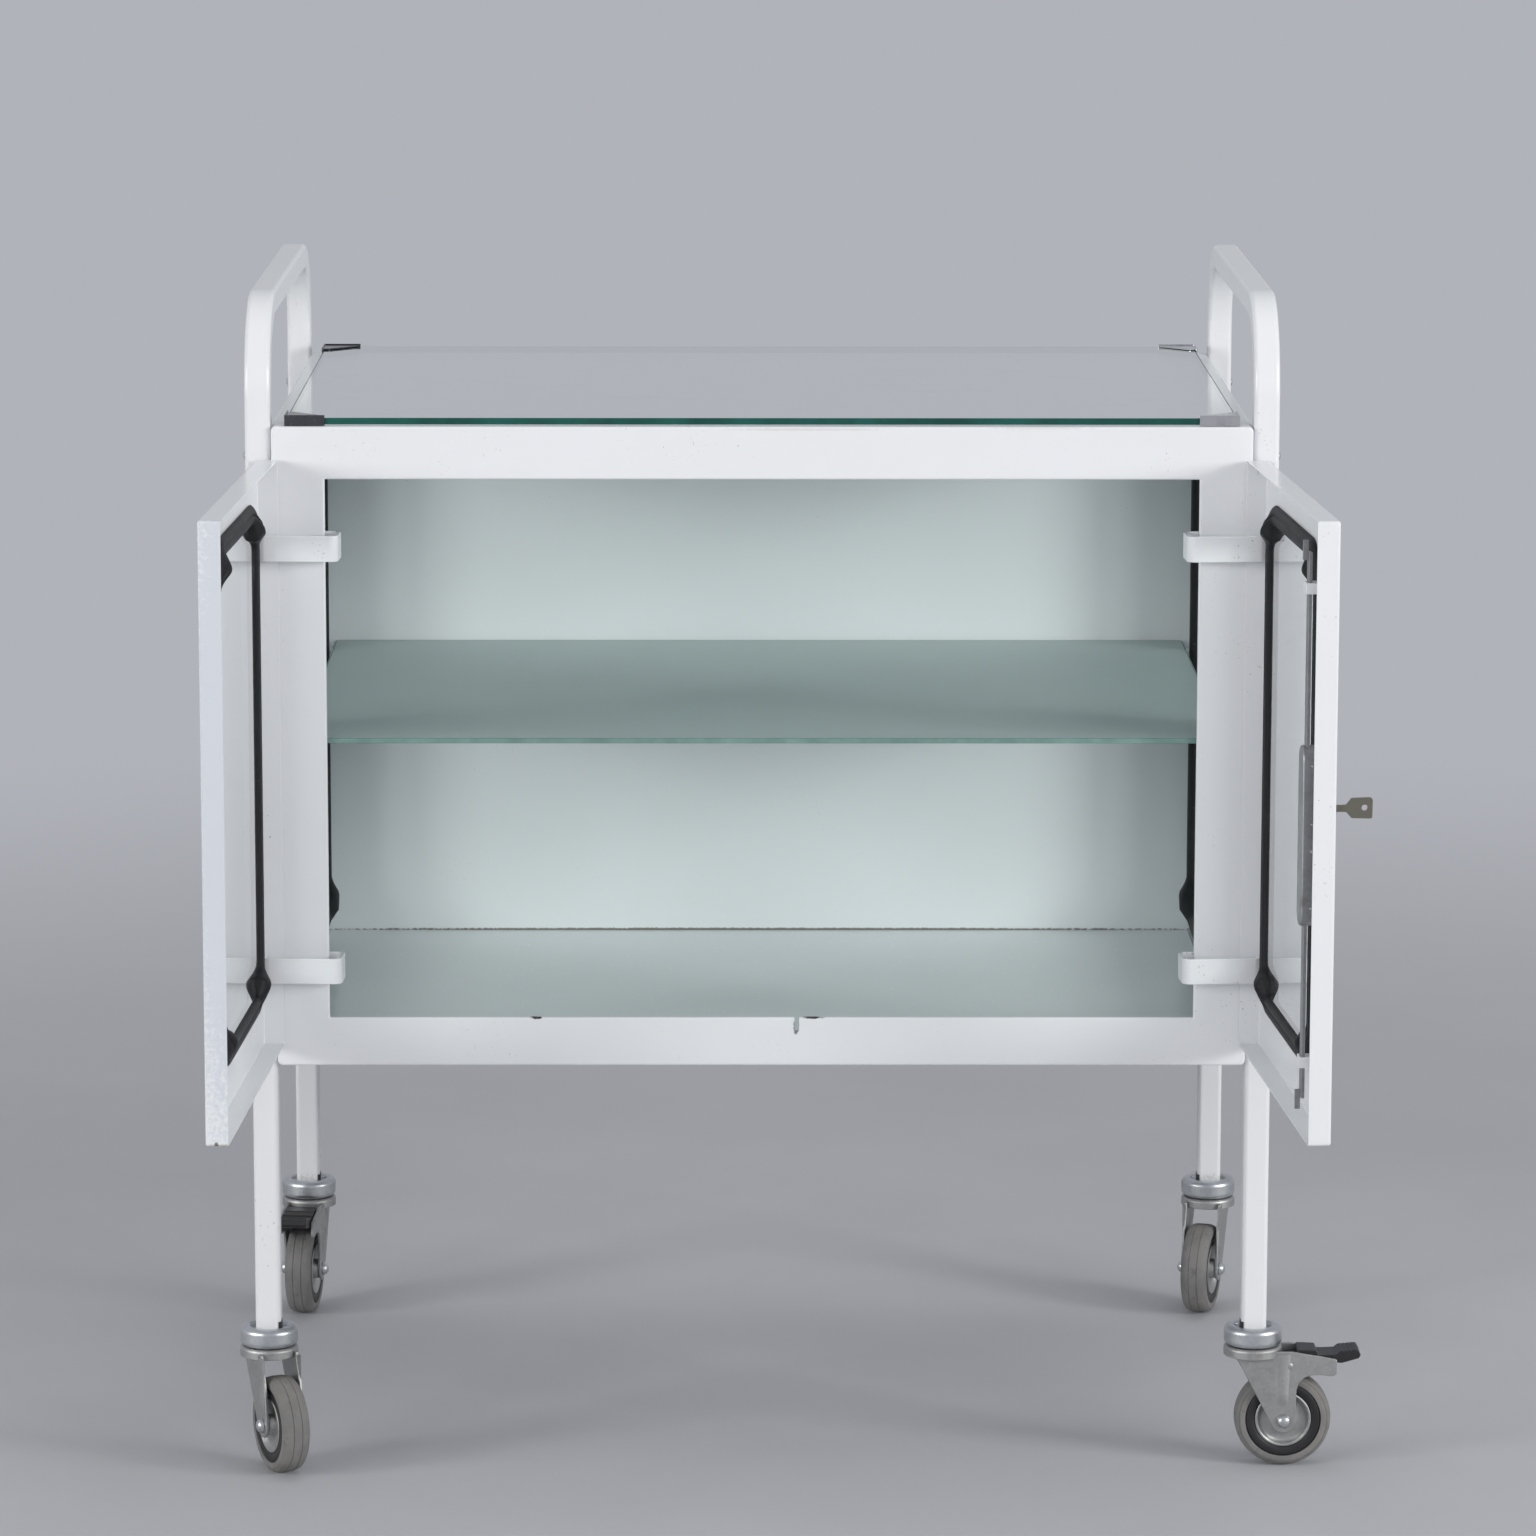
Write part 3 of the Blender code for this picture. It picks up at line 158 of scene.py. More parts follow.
def floor_paint(start):
    place = start.node("TexCoord", out="Object")
    far = place.node("VectorMath", {"operation": "LENGTH"}, {0: place}, "Value").fade(0.8, 3.4)
    tone = place.noise(2.2, 5.0, 0.6).fade(0.3, 0.7).between((0.53, 0.535, 0.56), (0.50, 0.505, 0.53))
    near = start.solid(tone, 0.75, start.bump(0.2, 0.001, place.noise(160.0, 3.0)))
    even = start.node("Emission", {}, {"Color": (*backdrop_colour, 1.0), "Strength": 1.0})
    top = start.node("MixShader", {}, {0: far * seen_directly(start), 1: near, 2: even})
    below = start.node("NewGeometry", out="Backfacing")
    return start.node("MixShader", {}, {0: below, 1: top, 2: start.node("BsdfTransparent")})


floor_radius, floor_sink, floor_corners = 60, 0.0004, 96
turn = np.linspace(0, 2 * np.pi, floor_corners, endpoint=False)
floor_mesh = bpy.data.meshes.new("studio_floor")
floor_rim = np.stack([floor_radius * np.cos(turn), floor_radius * np.sin(turn), 0 * turn - floor_sink], -1)
floor_mesh.from_pydata(floor_rim.tolist(), [], [list(range(floor_corners))])
floor_mesh.materials.append(material("studio_floor", floor_paint))
studio_floor = bpy.data.objects.new("studio_floor", floor_mesh)
bpy.context.scene.collection.objects.link(studio_floor)

world = bpy.data.worlds.new("studio")
bpy.context.scene.world = world
world.use_nodes = True
world.node_tree.nodes.clear()
sky = Signal(world.node_tree)
soft = sky.node("Background", {}, {"Color": (0.90, 0.94, 1.0, 1.0), "Strength": 0.2})
even_grey = sky.node("Background", {}, {"Color": (*backdrop_colour, 1.0), "Strength": 1.0})
both = sky.node("MixShader", {}, {0: seen_directly(sky), 1: soft, 2: even_grey})
world.node_tree.links.new(both.socket, world.node_tree.nodes.new("ShaderNodeOutputWorld").inputs["Surface"])


def lamp(name, place, aim, size, watts, colour):
    """A soft square lamp at place, turned to aim."""
    data = bpy.data.lights.new(name, "AREA")
    data.shape = "SQUARE"
    data.size = size
    data.energy = watts
    data.color = colour
    made = bpy.data.objects.new(name, data)
    made.location = place
    made.rotation_euler = (Vector(aim) - Vector(place)).to_track_quat("-Z", "Y").to_euler()
    bpy.context.scene.collection.objects.link(made)
    return made


warm_white = (1.0, 0.99, 0.98)
mirrored_lamps = [
    lamp("lamp_left", (-3.0, -3.3, 1.6), (0, -0.1, 0.55), 1.2, 30, warm_white),
    lamp("lamp_right", (3.1, -3.2, 1.7), (0, -0.1, 0.55), 1.2, 30, warm_white),
    lamp("lamp_far_left", (-4.1, -2.1, 1.5), (0, 0.0, 0.55), 1.2, 70, warm_white),
    lamp("lamp_far_right", (4.1, -2.0, 1.6), (0, 0.0, 0.55), 1.2, 97, warm_white),
]
plain_lamps = [
    lamp("lamp_front", (0.3, -5.6, 1.75), (0, 0.1, 0.6), 1.8, 53, (1.0, 1.0, 1.0)),
    lamp("lamp_overhead", (0.2, 0.3, 3.4), (0, 0.1, 0.6), 2.4, 30, (0.96, 0.98, 1.0)),
]
for plain in plain_lamps:
    plain.visible_glossy = False


def photo_camera(place, pitch, yaw, roll, lens):
    """A camera that looks down by pitch and right by yaw, all angles in radians."""
    ahead = Vector((math.sin(yaw) * math.cos(pitch), math.cos(yaw) * math.cos(pitch), -math.sin(pitch)))
    level = Vector((math.cos(yaw), -math.sin(yaw), 0))
    upward = level.cross(ahead)
    right = math.cos(roll) * level + math.sin(roll) * upward
    up = math.cos(roll) * upward - math.sin(roll) * level
    data = bpy.data.cameras.new("camera")
    data.sensor_width = 36
    data.lens = lens
    data.clip_end = 200
    made = bpy.data.objects.new("camera", data)
    made.matrix_world = Matrix.Translation(place) @ Matrix((right, up, -ahead)).transposed().to_4x4()
    bpy.context.scene.collection.objects.link(made)
    return made


bpy.context.scene.camera = photo_camera(
    (-0.05465, -5.106927, 1.4423), pitch=0.174, yaw=0.0057, roll=0.0013, lens=153.87)
bpy.context.scene.view_settings.view_transform = "Standard"


# FRONT FRAME
# Folded steel frame round the doorway, 756 mm wide and 502.5 mm high, sprayed with cool white lacquer.
# Its lips are slotted for the rods of the lock, the upper one only behind the face, as in the photo.
# The lower rail is chipped round its slot.
cabinet_low, cabinet_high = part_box("front_frame")
cabinet_origin = np.array([(cabinet_low.x + cabinet_high.x) / 2, cabinet_low.y, 0.0])


def on_cabinet(points):
    """From millimetres across, back from the front face and up, to the row frame."""
    return points / 1000 + cabinet_origin


def rounded(corners, radii, steps=4, closed=True, hold=0.1):
    """Outline through the corners, each turned on an arc of its own radius.

    The points of an arc are a spherical blend of the directions to its two ends, and one more point
    stands a little before and after it, so that the flats stay flat. An open outline keeps its two ends.
    """
    corner = np.asarray(corners, float)
    radius = np.broadcast_to(np.asarray(radii, float), len(corner))[:, None]
    back = np.roll(corner, 1, 0) - corner
    ahead = np.roll(corner, -1, 0) - corner
    back = back / np.linalg.norm(back, axis=1, keepdims=True)
    ahead = ahead / np.linalg.norm(ahead, axis=1, keepdims=True)
    half = np.arccos(np.clip((back * ahead).sum(1, keepdims=True), -1, 1)) / 2
    reach = radius / np.tan(half)
    middle = (back + ahead) / np.linalg.norm(back + ahead, axis=1, keepdims=True)
    centre = corner + middle * radius / np.sin(half)
    start = (corner + back * reach - centre) / radius
    end = (corner + ahead * reach - centre) / radius
    sweep = np.pi - 2 * half
    share = np.linspace(0, 1, steps + 1)
    to_start = np.sin((1 - share) * sweep)[..., None]
    to_end = np.sin(share * sweep)[..., None]
    blend = to_start * start[:, None] + to_end * end[:, None]
    arcs = centre[:, None] + blend * (radius / np.sin(sweep))[..., None]
    before = (corner + back * (reach + hold))[:, None]
    after = (corner + ahead * (reach + hold))[:, None]
    arcs = np.concatenate([before, arcs, after], 1)
    if closed:
        return arcs.reshape(-1, 2)
    return np.vstack([corner[:1], arcs[1:-1].reshape(-1, 2), corner[-1:]])


def rings(section, outer, hole=None, steps=5):
    """Grid of rounded rectangles, one for each point of the section.

    A point is (distance in from the outer edge, depth), and from 50 on, 100 less the distance out
    from the edge of the hole. A rectangle is (low, high, low, high, corner radius), and its corners
    tighten as it shrinks, to 0.4 mm at least. Each grid point is (across, up, depth).
    """
    inward, depth = np.asarray(section, float).T
    by_hole = inward > 50
    shift = np.where(by_hole, inward - 100, inward)
    base = np.where(by_hole[:, None], outer if hole is None else hole, outer).astype(float)
    low_a, high_a, low_b, high_b, corner = base.T + np.array([[1], [-1], [1], [-1], [-1]]) * shift
    radius = np.maximum(corner, 0.4)
    quarter = np.linspace(0, np.pi / 2, steps + 1)
    angle = (np.arange(4)[:, None] * np.pi / 2 - np.pi / 2 + quarter).reshape(1, -1)
    left, right = low_a + radius, high_a - radius
    bottom, top = low_b + radius, high_b - radius
    centre_a = np.repeat(np.stack([right, right, left, left], 1), steps + 1, 1)
    centre_b = np.repeat(np.stack([bottom, top, top, bottom], 1), steps + 1, 1)
    across = centre_a + radius[:, None] * np.cos(angle)
    up = centre_b + radius[:, None] * np.sin(angle)
    return np.stack([across, up, np.broadcast_to(depth[:, None], across.shape)], -1)


def laid(grid, plane):
    """Turns (across, up, depth) so that the sheet faces the front, a side or the top."""
    return grid[..., {"front": [0, 2, 1], "side": [2, 0, 1], "top": [0, 1, 2]}[plane]]


def skin(grid, look=0, along=True, ends=None):
    """Faces of a grid whose columns close on themselves.

    The rows close too, or end in flat faces with the look given.
    """
    rows, columns = grid.shape[:2]
    index = np.arange(rows * columns).reshape(rows, columns)
    index = np.hstack([index, index[:, :1]])
    loop = np.vstack([index, index[:1]]) if along else index
    quads = np.stack([loop[:-1, :-1], loop[:-1, 1:], loop[1:, 1:], loop[1:, :-1]], -1).reshape(-1, 4)
    lids = [] if ends is None else [index[0, :-1], index[-1, :-1]]
    return grid.reshape(-1, 3), quads, look, lids, ends


weld_distance = 0.000002
sides = ((1, "right"), (-1, "left"))


def piece(name, skins, looks, body, nodes=(), place=on_cabinet, soften=0, sharp=35):
    """One mesh from the skins, welded where they meet, turned to face outwards, and hung on its body.

    Soften is the width in millimetres of a live bevel on its sharp edges.
    """
    points = np.vstack([s[0] for s in skins])
    first = np.cumsum([0] + [len(s[0]) for s in skins[:-1]])
    faces = np.concatenate([s[1] + start for s, start in zip(skins, first)]).tolist()
    look = np.concatenate([np.full(len(s[1]), s[2]) for s in skins]).tolist()
    for s, start in zip(skins, first):
        faces += [(lid + start).tolist() for lid in s[3]]
        look += [s[4]] * len(s[3])
    mesh = bpy.data.meshes.new(name)
    mesh.from_pydata(place(points).tolist(), [], faces)
    mesh.polygons.foreach_set("material_index", look)
    shape = bmesh.new()
    shape.from_mesh(mesh)
    bmesh.ops.remove_doubles(shape, verts=shape.verts, dist=weld_distance)
    bmesh.ops.recalc_face_normals(shape, faces=shape.faces)
    shape.to_mesh(mesh)
    shape.free()
    mesh.polygons.foreach_set("use_smooth", [True] * len(mesh.polygons))
    for finish in looks:
        mesh.materials.append(finish)
    made = bpy.data.objects.new(name, mesh)
    bpy.context.scene.collection.objects.link(made)
    if soften:
        bevel = made.modifiers.new("soft_edges", "BEVEL")
        bevel.width = soften / 1000
        bevel.segments = 3
        bevel.angle_limit = math.radians(30)
        bevel.harden_normals = True
    else:
        mesh.set_sharp_from_angle(angle=math.radians(sharp))
    if nodes:
        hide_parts(*nodes)
    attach(made, body)
    return made


def prism(outline, low, high, plane, look=0):
    """A flat outline drawn out from low to high."""
    outline = np.asarray(outline, float)
    grid = np.stack([np.column_stack([outline, np.full(len(outline), depth)]) for depth in (low, high)])
    return skin(laid(grid, plane), look, along=False, ends=look)


def notched(made, boxes):
    """Cuts the boxes, each (low corner, high corner) in cabinet millimetres, out of a finished piece."""
    for low, high in boxes:
        square = [(low[0], low[1]), (high[0], low[1]), (high[0], high[1]), (low[0], high[1])]
        cutter = piece("cutter", [prism(square, low[2], high[2], "top")], [], "root")
        cut = made.modifiers.new("notch", "BOOLEAN")
        cut.object = cutter
        cut.solver = "EXACT"
        whole = made.evaluated_get(bpy.context.evaluated_depsgraph_get())
        mesh = bpy.data.meshes.new_from_object(whole)
        made.modifiers.clear()
        made.data = mesh
        bpy.data.objects.remove(cutter)
    even = made.modifiers.new("even_faces", "WEIGHTED_NORMAL")
    even.keep_sharp = True


def marked(place, colour, marks):
    """The colour with soft-edged marks: stains, and painted shade alike.

    Each mark is (centre in cabinet millimetres, half sizes in millimetres, colour, strength).
    """
    ragged = place.noise(300.0, 3.0, 0.6) * 1.3
    for centre, reach, blotch, strength in marks:
        middle = on_cabinet(np.array(centre, float))
        off = place.node("VectorMath", {"operation": "SUBTRACT"}, {0: place, 1: tuple(middle)})
        half_sizes = tuple(r / 1000 for r in reach)
        scaled = place.node("VectorMath", {"operation": "DIVIDE"}, {0: off, 1: half_sizes})
        far = place.node("VectorMath", {"operation": "LENGTH"}, {0: scaled}, "Value")
        colour = ((far + ragged).fade(1.75, 1.25) * strength).between(colour, blotch)
    return colour


def lacquer(name, white=(0.80, 0.812, 0.835), dirt=0.5, marks=()):
    """Cool white sprayed lacquer: faint clouds, a few brown specks, orange peel and gentle waves."""

    def paint(start):
        place = start.node("TexCoord", out="Object")
        cloud = place.noise(6.0, 4.0, 0.55)
        fine = place.noise(70.0, 4.0, 0.6)
        dull = tuple(0.93 * c for c in white[:2]) + (0.90 * white[2],)
        colour = (cloud.fade(0.15, 0.90) * 0.20).between(white, dull)
        colour = (fine.fade(0.60, 0.82) * 0.10 * dirt).between(colour, (0.52, 0.50, 0.46))
        spots = place.noise(520.0, 1.0, 0.4).fade(0.722, 0.770) * place.noise(17.0, 2.0).fade(0.50, 0.66)
        colour = (spots * dirt).between(colour, (0.27, 0.19, 0.13))
        colour = marked(place, colour, marks)
        shine = 0.27 + spots * 0.3
        waves = start.bump(0.08, 0.002, place.noise(9.0, 0.0))
        peel = start.bump(0.05, 0.0003, place.noise(420.0, 1.0), waves)
        return start.solid(colour, shine, peel, {"Coat Weight": 0.25, "Coat Roughness": 0.12})

    return material(name, paint)


bare_iron = (0.045, 0.035, 0.030)
grey_grime = (0.30, 0.28, 0.25)
outer_lacquer = lacquer("white_lacquer_outer", marks=[
    ((-176, 0, 363), (5, 6, 1.5), bare_iron, 1.0),
    ((40, 0, 363), (8, 6, 1.4), bare_iron, 1.0),
    ((27, 0, 356), (2.4, 4, 8), bare_iron, 0.8),
    ((30, 0, 825), (60, 14, 1.2), (0.50, 0.46, 0.42), 0.30),
    ((215, 0, 826), (45, 14, 1.2), (0.50, 0.46, 0.42), 0.25),
])

half_width, cabinet_bottom, cabinet_top = 378, 324.5, 827
doorway_bottom, doorway_top = 363, 786
frame_section = rounded(
    [(0, 18), (0, 0), (100, 0), (100, 5), (98.8, 5), (98.8, 1.2), (1.2, 1.2), (1.2, 18)],
    [0.3, 1.8, 1.6, 0.4, 0.4, 0.5, 0.6, 0.3])
frame_grid = rings(
    frame_section, (-half_width, half_width, cabinet_bottom, cabinet_top, 4),
    (-337, 337, doorway_bottom, doorway_top, 0.6))
front_frame = piece(
    "front_frame_folded", [skin(laid(frame_grid, "front"))], [outer_lacquer],
    "root", ["front_frame"])
upper_notch = ((25.7, 1.25, 780), (29.3, 7, 796.5))
lower_notch = ((25.7, -2, 352.5), (29.3, 7, 370))
notched(front_frame, [upper_notch, lower_notch])


# CABINET PANELS
# Pressed steel pans of 1.2 mm: back, top and floor, and two side panels with a window cut out.
# The side panels carry four bent lugs under the shelf. Grime gathers where floor and back meet.
inner_lacquer = lacquer("white_lacquer_inner", (0.775, 0.805, 0.825), 0.35, [
    ((0, 509, 330.8), (420, 2.2, 1.5), (0.10, 0.075, 0.05), 0.8),
    ((-368.5, 250, 331), (2.0, 280, 2.0), grey_grime, 0.5),
    ((368.5, 250, 331), (2.0, 280, 2.0), grey_grime, 0.5),
])


sheet = 1.2
panel_front, panel_rear = 18.3, 508.7


def pan(low_a, high_a, low_b, high_b, face, rim, plane):
    """A shallow pan of sheet: its flat is at depth face, and its walls run to depth rim."""
    way = math.copysign(sheet, rim - face)
    line = [(8, face + way), (sheet, face + way), (sheet, rim), (0, rim), (0, face), (8, face)]
    section = rounded(line, [0.3, 0.5, 0.3, 0.3, 1.7, 0.3], closed=False)
    return skin(laid(rings(section, (low_a, high_a, low_b, high_b, 2.5)), plane), along=False, ends=0)


for word, edges, face, rim, plane, finish in (
        ("back", (-half_width, half_width, cabinet_bottom, cabinet_top), 509, 518, "front", inner_lacquer),
        ("top", (-half_width, half_width, panel_front, panel_rear), cabinet_top, 815, "top", outer_lacquer),
        ("floor", (-368.7, 368.7, 1.5, panel_rear), 330.5, 326, "top", inner_lacquer)):
    piece(f"{word}_pressed", [pan(*edges, face, rim, plane)], [finish],
          "root", [f"{word}_panel"])
wall_section = rounded(
    [(0, 378), (0, 369), (100, 369), (100, 370.2), (1.2, 370.2), (1.2, 378)],
    [0.3, 1.6, 0.3, 0.3, 0.5, 0.3])
wall_edges = (panel_front, panel_rear, cabinet_bottom, 814.7, 2.5)
window_edges = (61.7, 456.3, 351.7, 798.3, 39.3)
shelf_lug = np.array([
    (369, 578.2), (369, 563.2), (367.5, 563.2), (367.5, 576.7), (350, 576.7), (350, 578.2)])
lug_length, lug_fronts = 20, (25, 470)
for side, word in sides:
    wall = rings(wall_section * (1, side), wall_edges, window_edges, 12)
    lugs = [prism(shelf_lug * (side, 1), low, low + lug_length, "front") for low in lug_fronts]
    piece(f"side_pressed_{word}", [skin(laid(wall, "side")), *lugs], [inner_lacquer],
          "root", [f"side_panel_{word}"], sharp=30)


# SIDE FRAMES
# One length of 20 mm square tube on each side, bent to a push handle above and cut off for the
# casters below. Screws with raised heads hold it to the cabinet, and black plugs close its feet.
def swept(path, section):
    """The section carried along a path in the side plane.

    Each ring of points is the path's point, plus the section's first number along the normal, which
    halves the angle between the two directions there, and its second number across the plane.
    """
    step = np.diff(path, axis=0)
    step = step / np.linalg.norm(step, axis=1, keepdims=True)
    ahead = np.vstack([step[:1], step[:-1] + step[1:], step[-1:]])
    ahead = ahead / np.linalg.norm(ahead, axis=1, keepdims=True)
    normal = np.column_stack([-ahead[:, 1], ahead[:, 0]])
    flat = path[:, None] + section[None, :, :1] * normal[:, None]
    return np.concatenate([flat, np.broadcast_to(section[None, :, 1:], flat.shape[:2] + (1,))], -1)


def turned(profile, steps, axis="up", along=True, ends=None, look=0):
    """The profile of (radius, height) points turned round an axis that stands up or lies across."""
    angle = np.linspace(0, 2 * np.pi, steps, endpoint=False)
    radius, height = np.asarray(profile, float).T[:, :, None]
    along_axis = np.broadcast_to(height, (len(height), steps))
    grid = np.stack([radius * np.cos(angle), radius * np.sin(angle), along_axis], -1)
    return skin(grid[..., [0, 1, 2] if axis == "up" else [0, 2, 1]], look, along, ends)


def shifted(made, offset):
    """The same skin moved by the offset."""
    return (made[0] + np.asarray(offset, float), *made[1:])


def laid_over(made, spot):
    """The same turned skin with its axis lying across, moved to the spot."""
    return (made[0][:, [2, 0, 1]] + np.asarray(spot, float), *made[1:])


def black_plastic_paint(start):
    place = start.node("TexCoord", out="Object")
    worn = place.noise(45.0, 4.0, 0.6)
    dust = place.noise(9.0, 3.0).fade(0.45, 0.75) * 0.30 * worn
    colour = dust.between((0.014, 0.014, 0.016), (0.13, 0.125, 0.115))
    grain = start.bump(0.25, 0.0003, place.noise(650.0, 2.0))
    return start.solid(colour, 0.36 + worn * 0.2, grain)


def zinc(name, bright=(0.50, 0.51, 0.525), rough=0.33, soil=0.5):
    """Galvanised or pressed zinc: small spangles, scuffs, and brownish dirt that gathers in patches."""

    def paint(start):
        place = start.node("TexCoord", out="Object")
        crystals = start.node("TexVoronoi", {}, {"Vector": place, "Scale": 420.0}, "Color")
        spangle = start.node("SeparateColor", {}, {0: crystals})
        cloud = place.noise(38.0, 4.0, 0.6)
        scuff = place.stretched((300.0, 60.0, 40.0)).noise(2.0, 3.0, 0.6).fade(0.55, 0.72)
        dim = tuple(0.72 * c for c in bright)
        colour = (spangle * 0.35 + cloud.fade(0.3, 0.7) * 0.45).between(bright, dim)
        grime = cloud.fade(0.56, 0.74) * place.noise(9.0, 2.0).fade(0.40, 0.66) * soil
        colour = grime.between(colour, (0.13, 0.115, 0.095))
        dents = start.bump(0.22, 0.0006, cloud + 0.3 * spangle)
        shine = rough + cloud * 0.16 + scuff * 0.10 + grime * 0.2
        return start.solid(colour, shine, dents, {"Metallic": 0.92 - grime * 0.7})

    return material(name, paint)


black_plastic = material("black_plastic", black_plastic_paint)
worn_zinc = zinc("galvanised_zinc")
tube_lacquer = lacquer("white_lacquer_tube", (0.795, 0.805, 0.825), 0.6, [
    ((388, 509, 112), (14, 14, 8), grey_grime, 0.35),
    ((-388, 509, 112), (14, 14, 8), grey_grime, 0.35),
])
tube_x, screw_x, leg_foot, handle_height = 388.3, 398.1, 110, 915
front_leg, rear_leg = 13, 509
leg_places = (front_leg, rear_leg)
screw_heights = (803, 345)
tube_path = rounded(
    [(front_leg, leg_foot), (front_leg, handle_height), (rear_leg, handle_height), (rear_leg, leg_foot)],
    65, 20, closed=False)
tube_square = rounded([(-10, -10), (10, -10), (10, 10), (-10, 10)], 3.5, 6)
foot_plug = rounded([(-8.3, -8.3), (8.3, -8.3), (8.3, 8.3), (-8.3, 8.3)], 2, 4)
foot_tab = np.array([(-10.35, -9.2), (-9.0, -10.3), (-8.2, -10.3), (-8.2, 4), (-10.35, 4)])
screw_dome = [(0, 1.75), (1.2, 1.7), (2.4, 1.35), (3.2, 0.7), (3.5, -0.3), (0, -0.3)]
for side, word in sides:
    tube = laid(swept(tube_path, tube_square), "side") + (tube_x * side, 0, 0)
    plug = prism(foot_plug, 107.4, 111, "top", 1)
    tab = prism(foot_tab * (side, 1), 108, 117, "top", 1)
    plugs = [shifted(made, (tube_x * side, y, 0)) for made in (plug, tab) for y in leg_places]
    head = turned(np.array(screw_dome) * (1, side), 20, along=False, look=2)
    heads = [laid_over(head, (screw_x * side, y, z)) for z in screw_heights for y in leg_places]
    piece(f"side_tube_{word}", [skin(tube, along=False, ends=0), *plugs, *heads],
          [tube_lacquer, black_plastic, worn_zinc], "root", [f"side_frame_{word}"])


# WINDOWS
# Clear panes of 4 mm in the sides, each held in the steel by one black rubber section that grips
# pane and sheet, with a rib on either lip. In the corners the rubber bunches up and folds inwards.
def clear_glass_paint(start):
    place = start.node("TexCoord", out="Object")
    smear = place.stretched((1.0, 1.0, 2.5)).noise(7.0, 5.0, 0.65).fade(0.52, 0.80)
    through = start.node("BsdfTransparent", {}, {"Color": (0.945, 0.982, 0.972, 1.0)})
    mirror = start.node("BsdfAnisotropic", {}, {"Color": (1.0, 1.0, 1.0, 1.0), "Roughness": 0.04})
    entering = 1.0 - start.node("NewGeometry", out="Backfacing")
    both_faces = (start.node("Fresnel", {}, {"IOR": 1.5}) * entering * 1.7).least(1.0)
    clean = start.node("MixShader", {}, {0: both_faces, 1: through, 2: mirror})
    film = start.node("BsdfDiffuse", {}, {"Color": (0.62, 0.66, 0.66, 1.0)})
    return start.node("MixShader", {}, {0: smear * 0.06, 1: clean, 2: film})


def glass_edge_paint(start):
    place = start.node("TexCoord", out="Object")
    depth = place.noise(26.0, 3.0, 0.6)
    colour = depth.fade(0.3, 0.7).between((0.002, 0.052, 0.040), (0.006, 0.090, 0.072))
    nicks = place.noise(620.0, 2.0).fade(0.72, 0.80)
    colour = (nicks * 0.4).between(colour, (0.25, 0.42, 0.38))
    chipped = start.bump(0.3, 0.0004, place.noise(500.0, 2.0))
    return start.solid(colour, 0.12 + depth * 0.15, chipped)


def black_rubber_paint(start):
    place = start.node("TexCoord", out="Object")
    cloud = place.noise(24.0, 4.0, 0.6)
    bloom = cloud.fade(0.50, 0.78) * 0.5
    colour = bloom.between((0.007, 0.007, 0.009), (0.040, 0.040, 0.044))
    chalk = place.noise(240.0, 2.0).fade(0.68, 0.76) * place.noise(12.0, 2.0).fade(0.48, 0.66)
    colour = (chalk * 0.5).between(colour, (0.26, 0.25, 0.24))
    uneven = start.bump(0.3, 0.0006, place.noise(210.0, 3.0) + cloud * 2.0)
    return start.solid(colour, 0.42 + cloud * 0.25, uneven, {"Specular IOR Level": 0.3})


clear_glass = material("clear_glass", clear_glass_paint)
glass_edge = material("glass_edge", glass_edge_paint)
black_rubber = material("black_rubber", black_rubber_paint)


def rubber(outline, gripped, middle, bunch, side=1, lowest=-14.0, stout=1.0):
    """Grid of the glazing rubber round an outline, with the middle of its section at depth middle.

    The section is closed: lips on both faces, a groove along them, and slots for the gripped sheet and
    the pane. Stout makes its lips that much thicker. In each corner, by the squared sine of twice the
    turn, the lips move in by bunch and fold up off the pane, though no further out than lowest.
    """
    slot = gripped / 2 + 0.05
    front = [(5.7, slot), (0.3, slot), (0.0, 1.5), (1.4, 3.4), (3.2, 4.6), (5.4, 4.9), (7.0, 4.4), (7.9, 3.5),
             (8.8, 4.3), (10.2, 4.9), (12.2, 4.7), (14.2, 3.9), (15.8, 2.6), (15.6, 2.05), (10.3, 2.05)]
    section = np.array(front + [(a, -b) for a, b in reversed(front)])
    on_lip = np.abs(section[:, 1:]) > 2.1
    thick = section[:, 1:] * np.where(on_lip, stout, 1.0)
    section[:, 1:] = thick + middle
    steps, fold_start, fold_reach = 14, 5, 8
    grid = rings(section, outline, steps=steps)
    local = np.tile(np.linspace(0, np.pi / 2, steps + 1), 4)
    facing = np.arange(4).repeat(steps + 1) * np.pi / 2 - np.pi / 2 + local
    fold = np.sin(2 * local) ** 2
    inner = np.clip((section[:, :1] - fold_start) / fold_reach, 0, 1)
    grid[..., 0] -= bunch * inner * fold * np.cos(facing)
    grid[..., 1] -= bunch * inner * fold * np.sin(facing)
    grid[..., 2] += 1.6 * np.sin(np.pi * np.clip(inner, 0, 0.8)) * fold * thick * on_lip
    grid[..., 2] = np.maximum(grid[..., 2], middle + lowest)
    return grid * (1, 1, side)


def pane(low_a, high_a, low_b, high_b, radius, low, high, plane, steps=8, arris=0.5):
    """A sheet of glass: clear faces, and green edges with a ground arris."""
    line = [(0.8 + arris, low), (0, low), (0, high), (0.8 + arris, high)]
    section = rounded(line, [0.1, arris, arris, 0.1], 2, closed=False)
    grid = rings(section, (low_a, high_a, low_b, high_b, radius), steps=steps)
    return skin(laid(grid, plane), 1, along=False, ends=0)


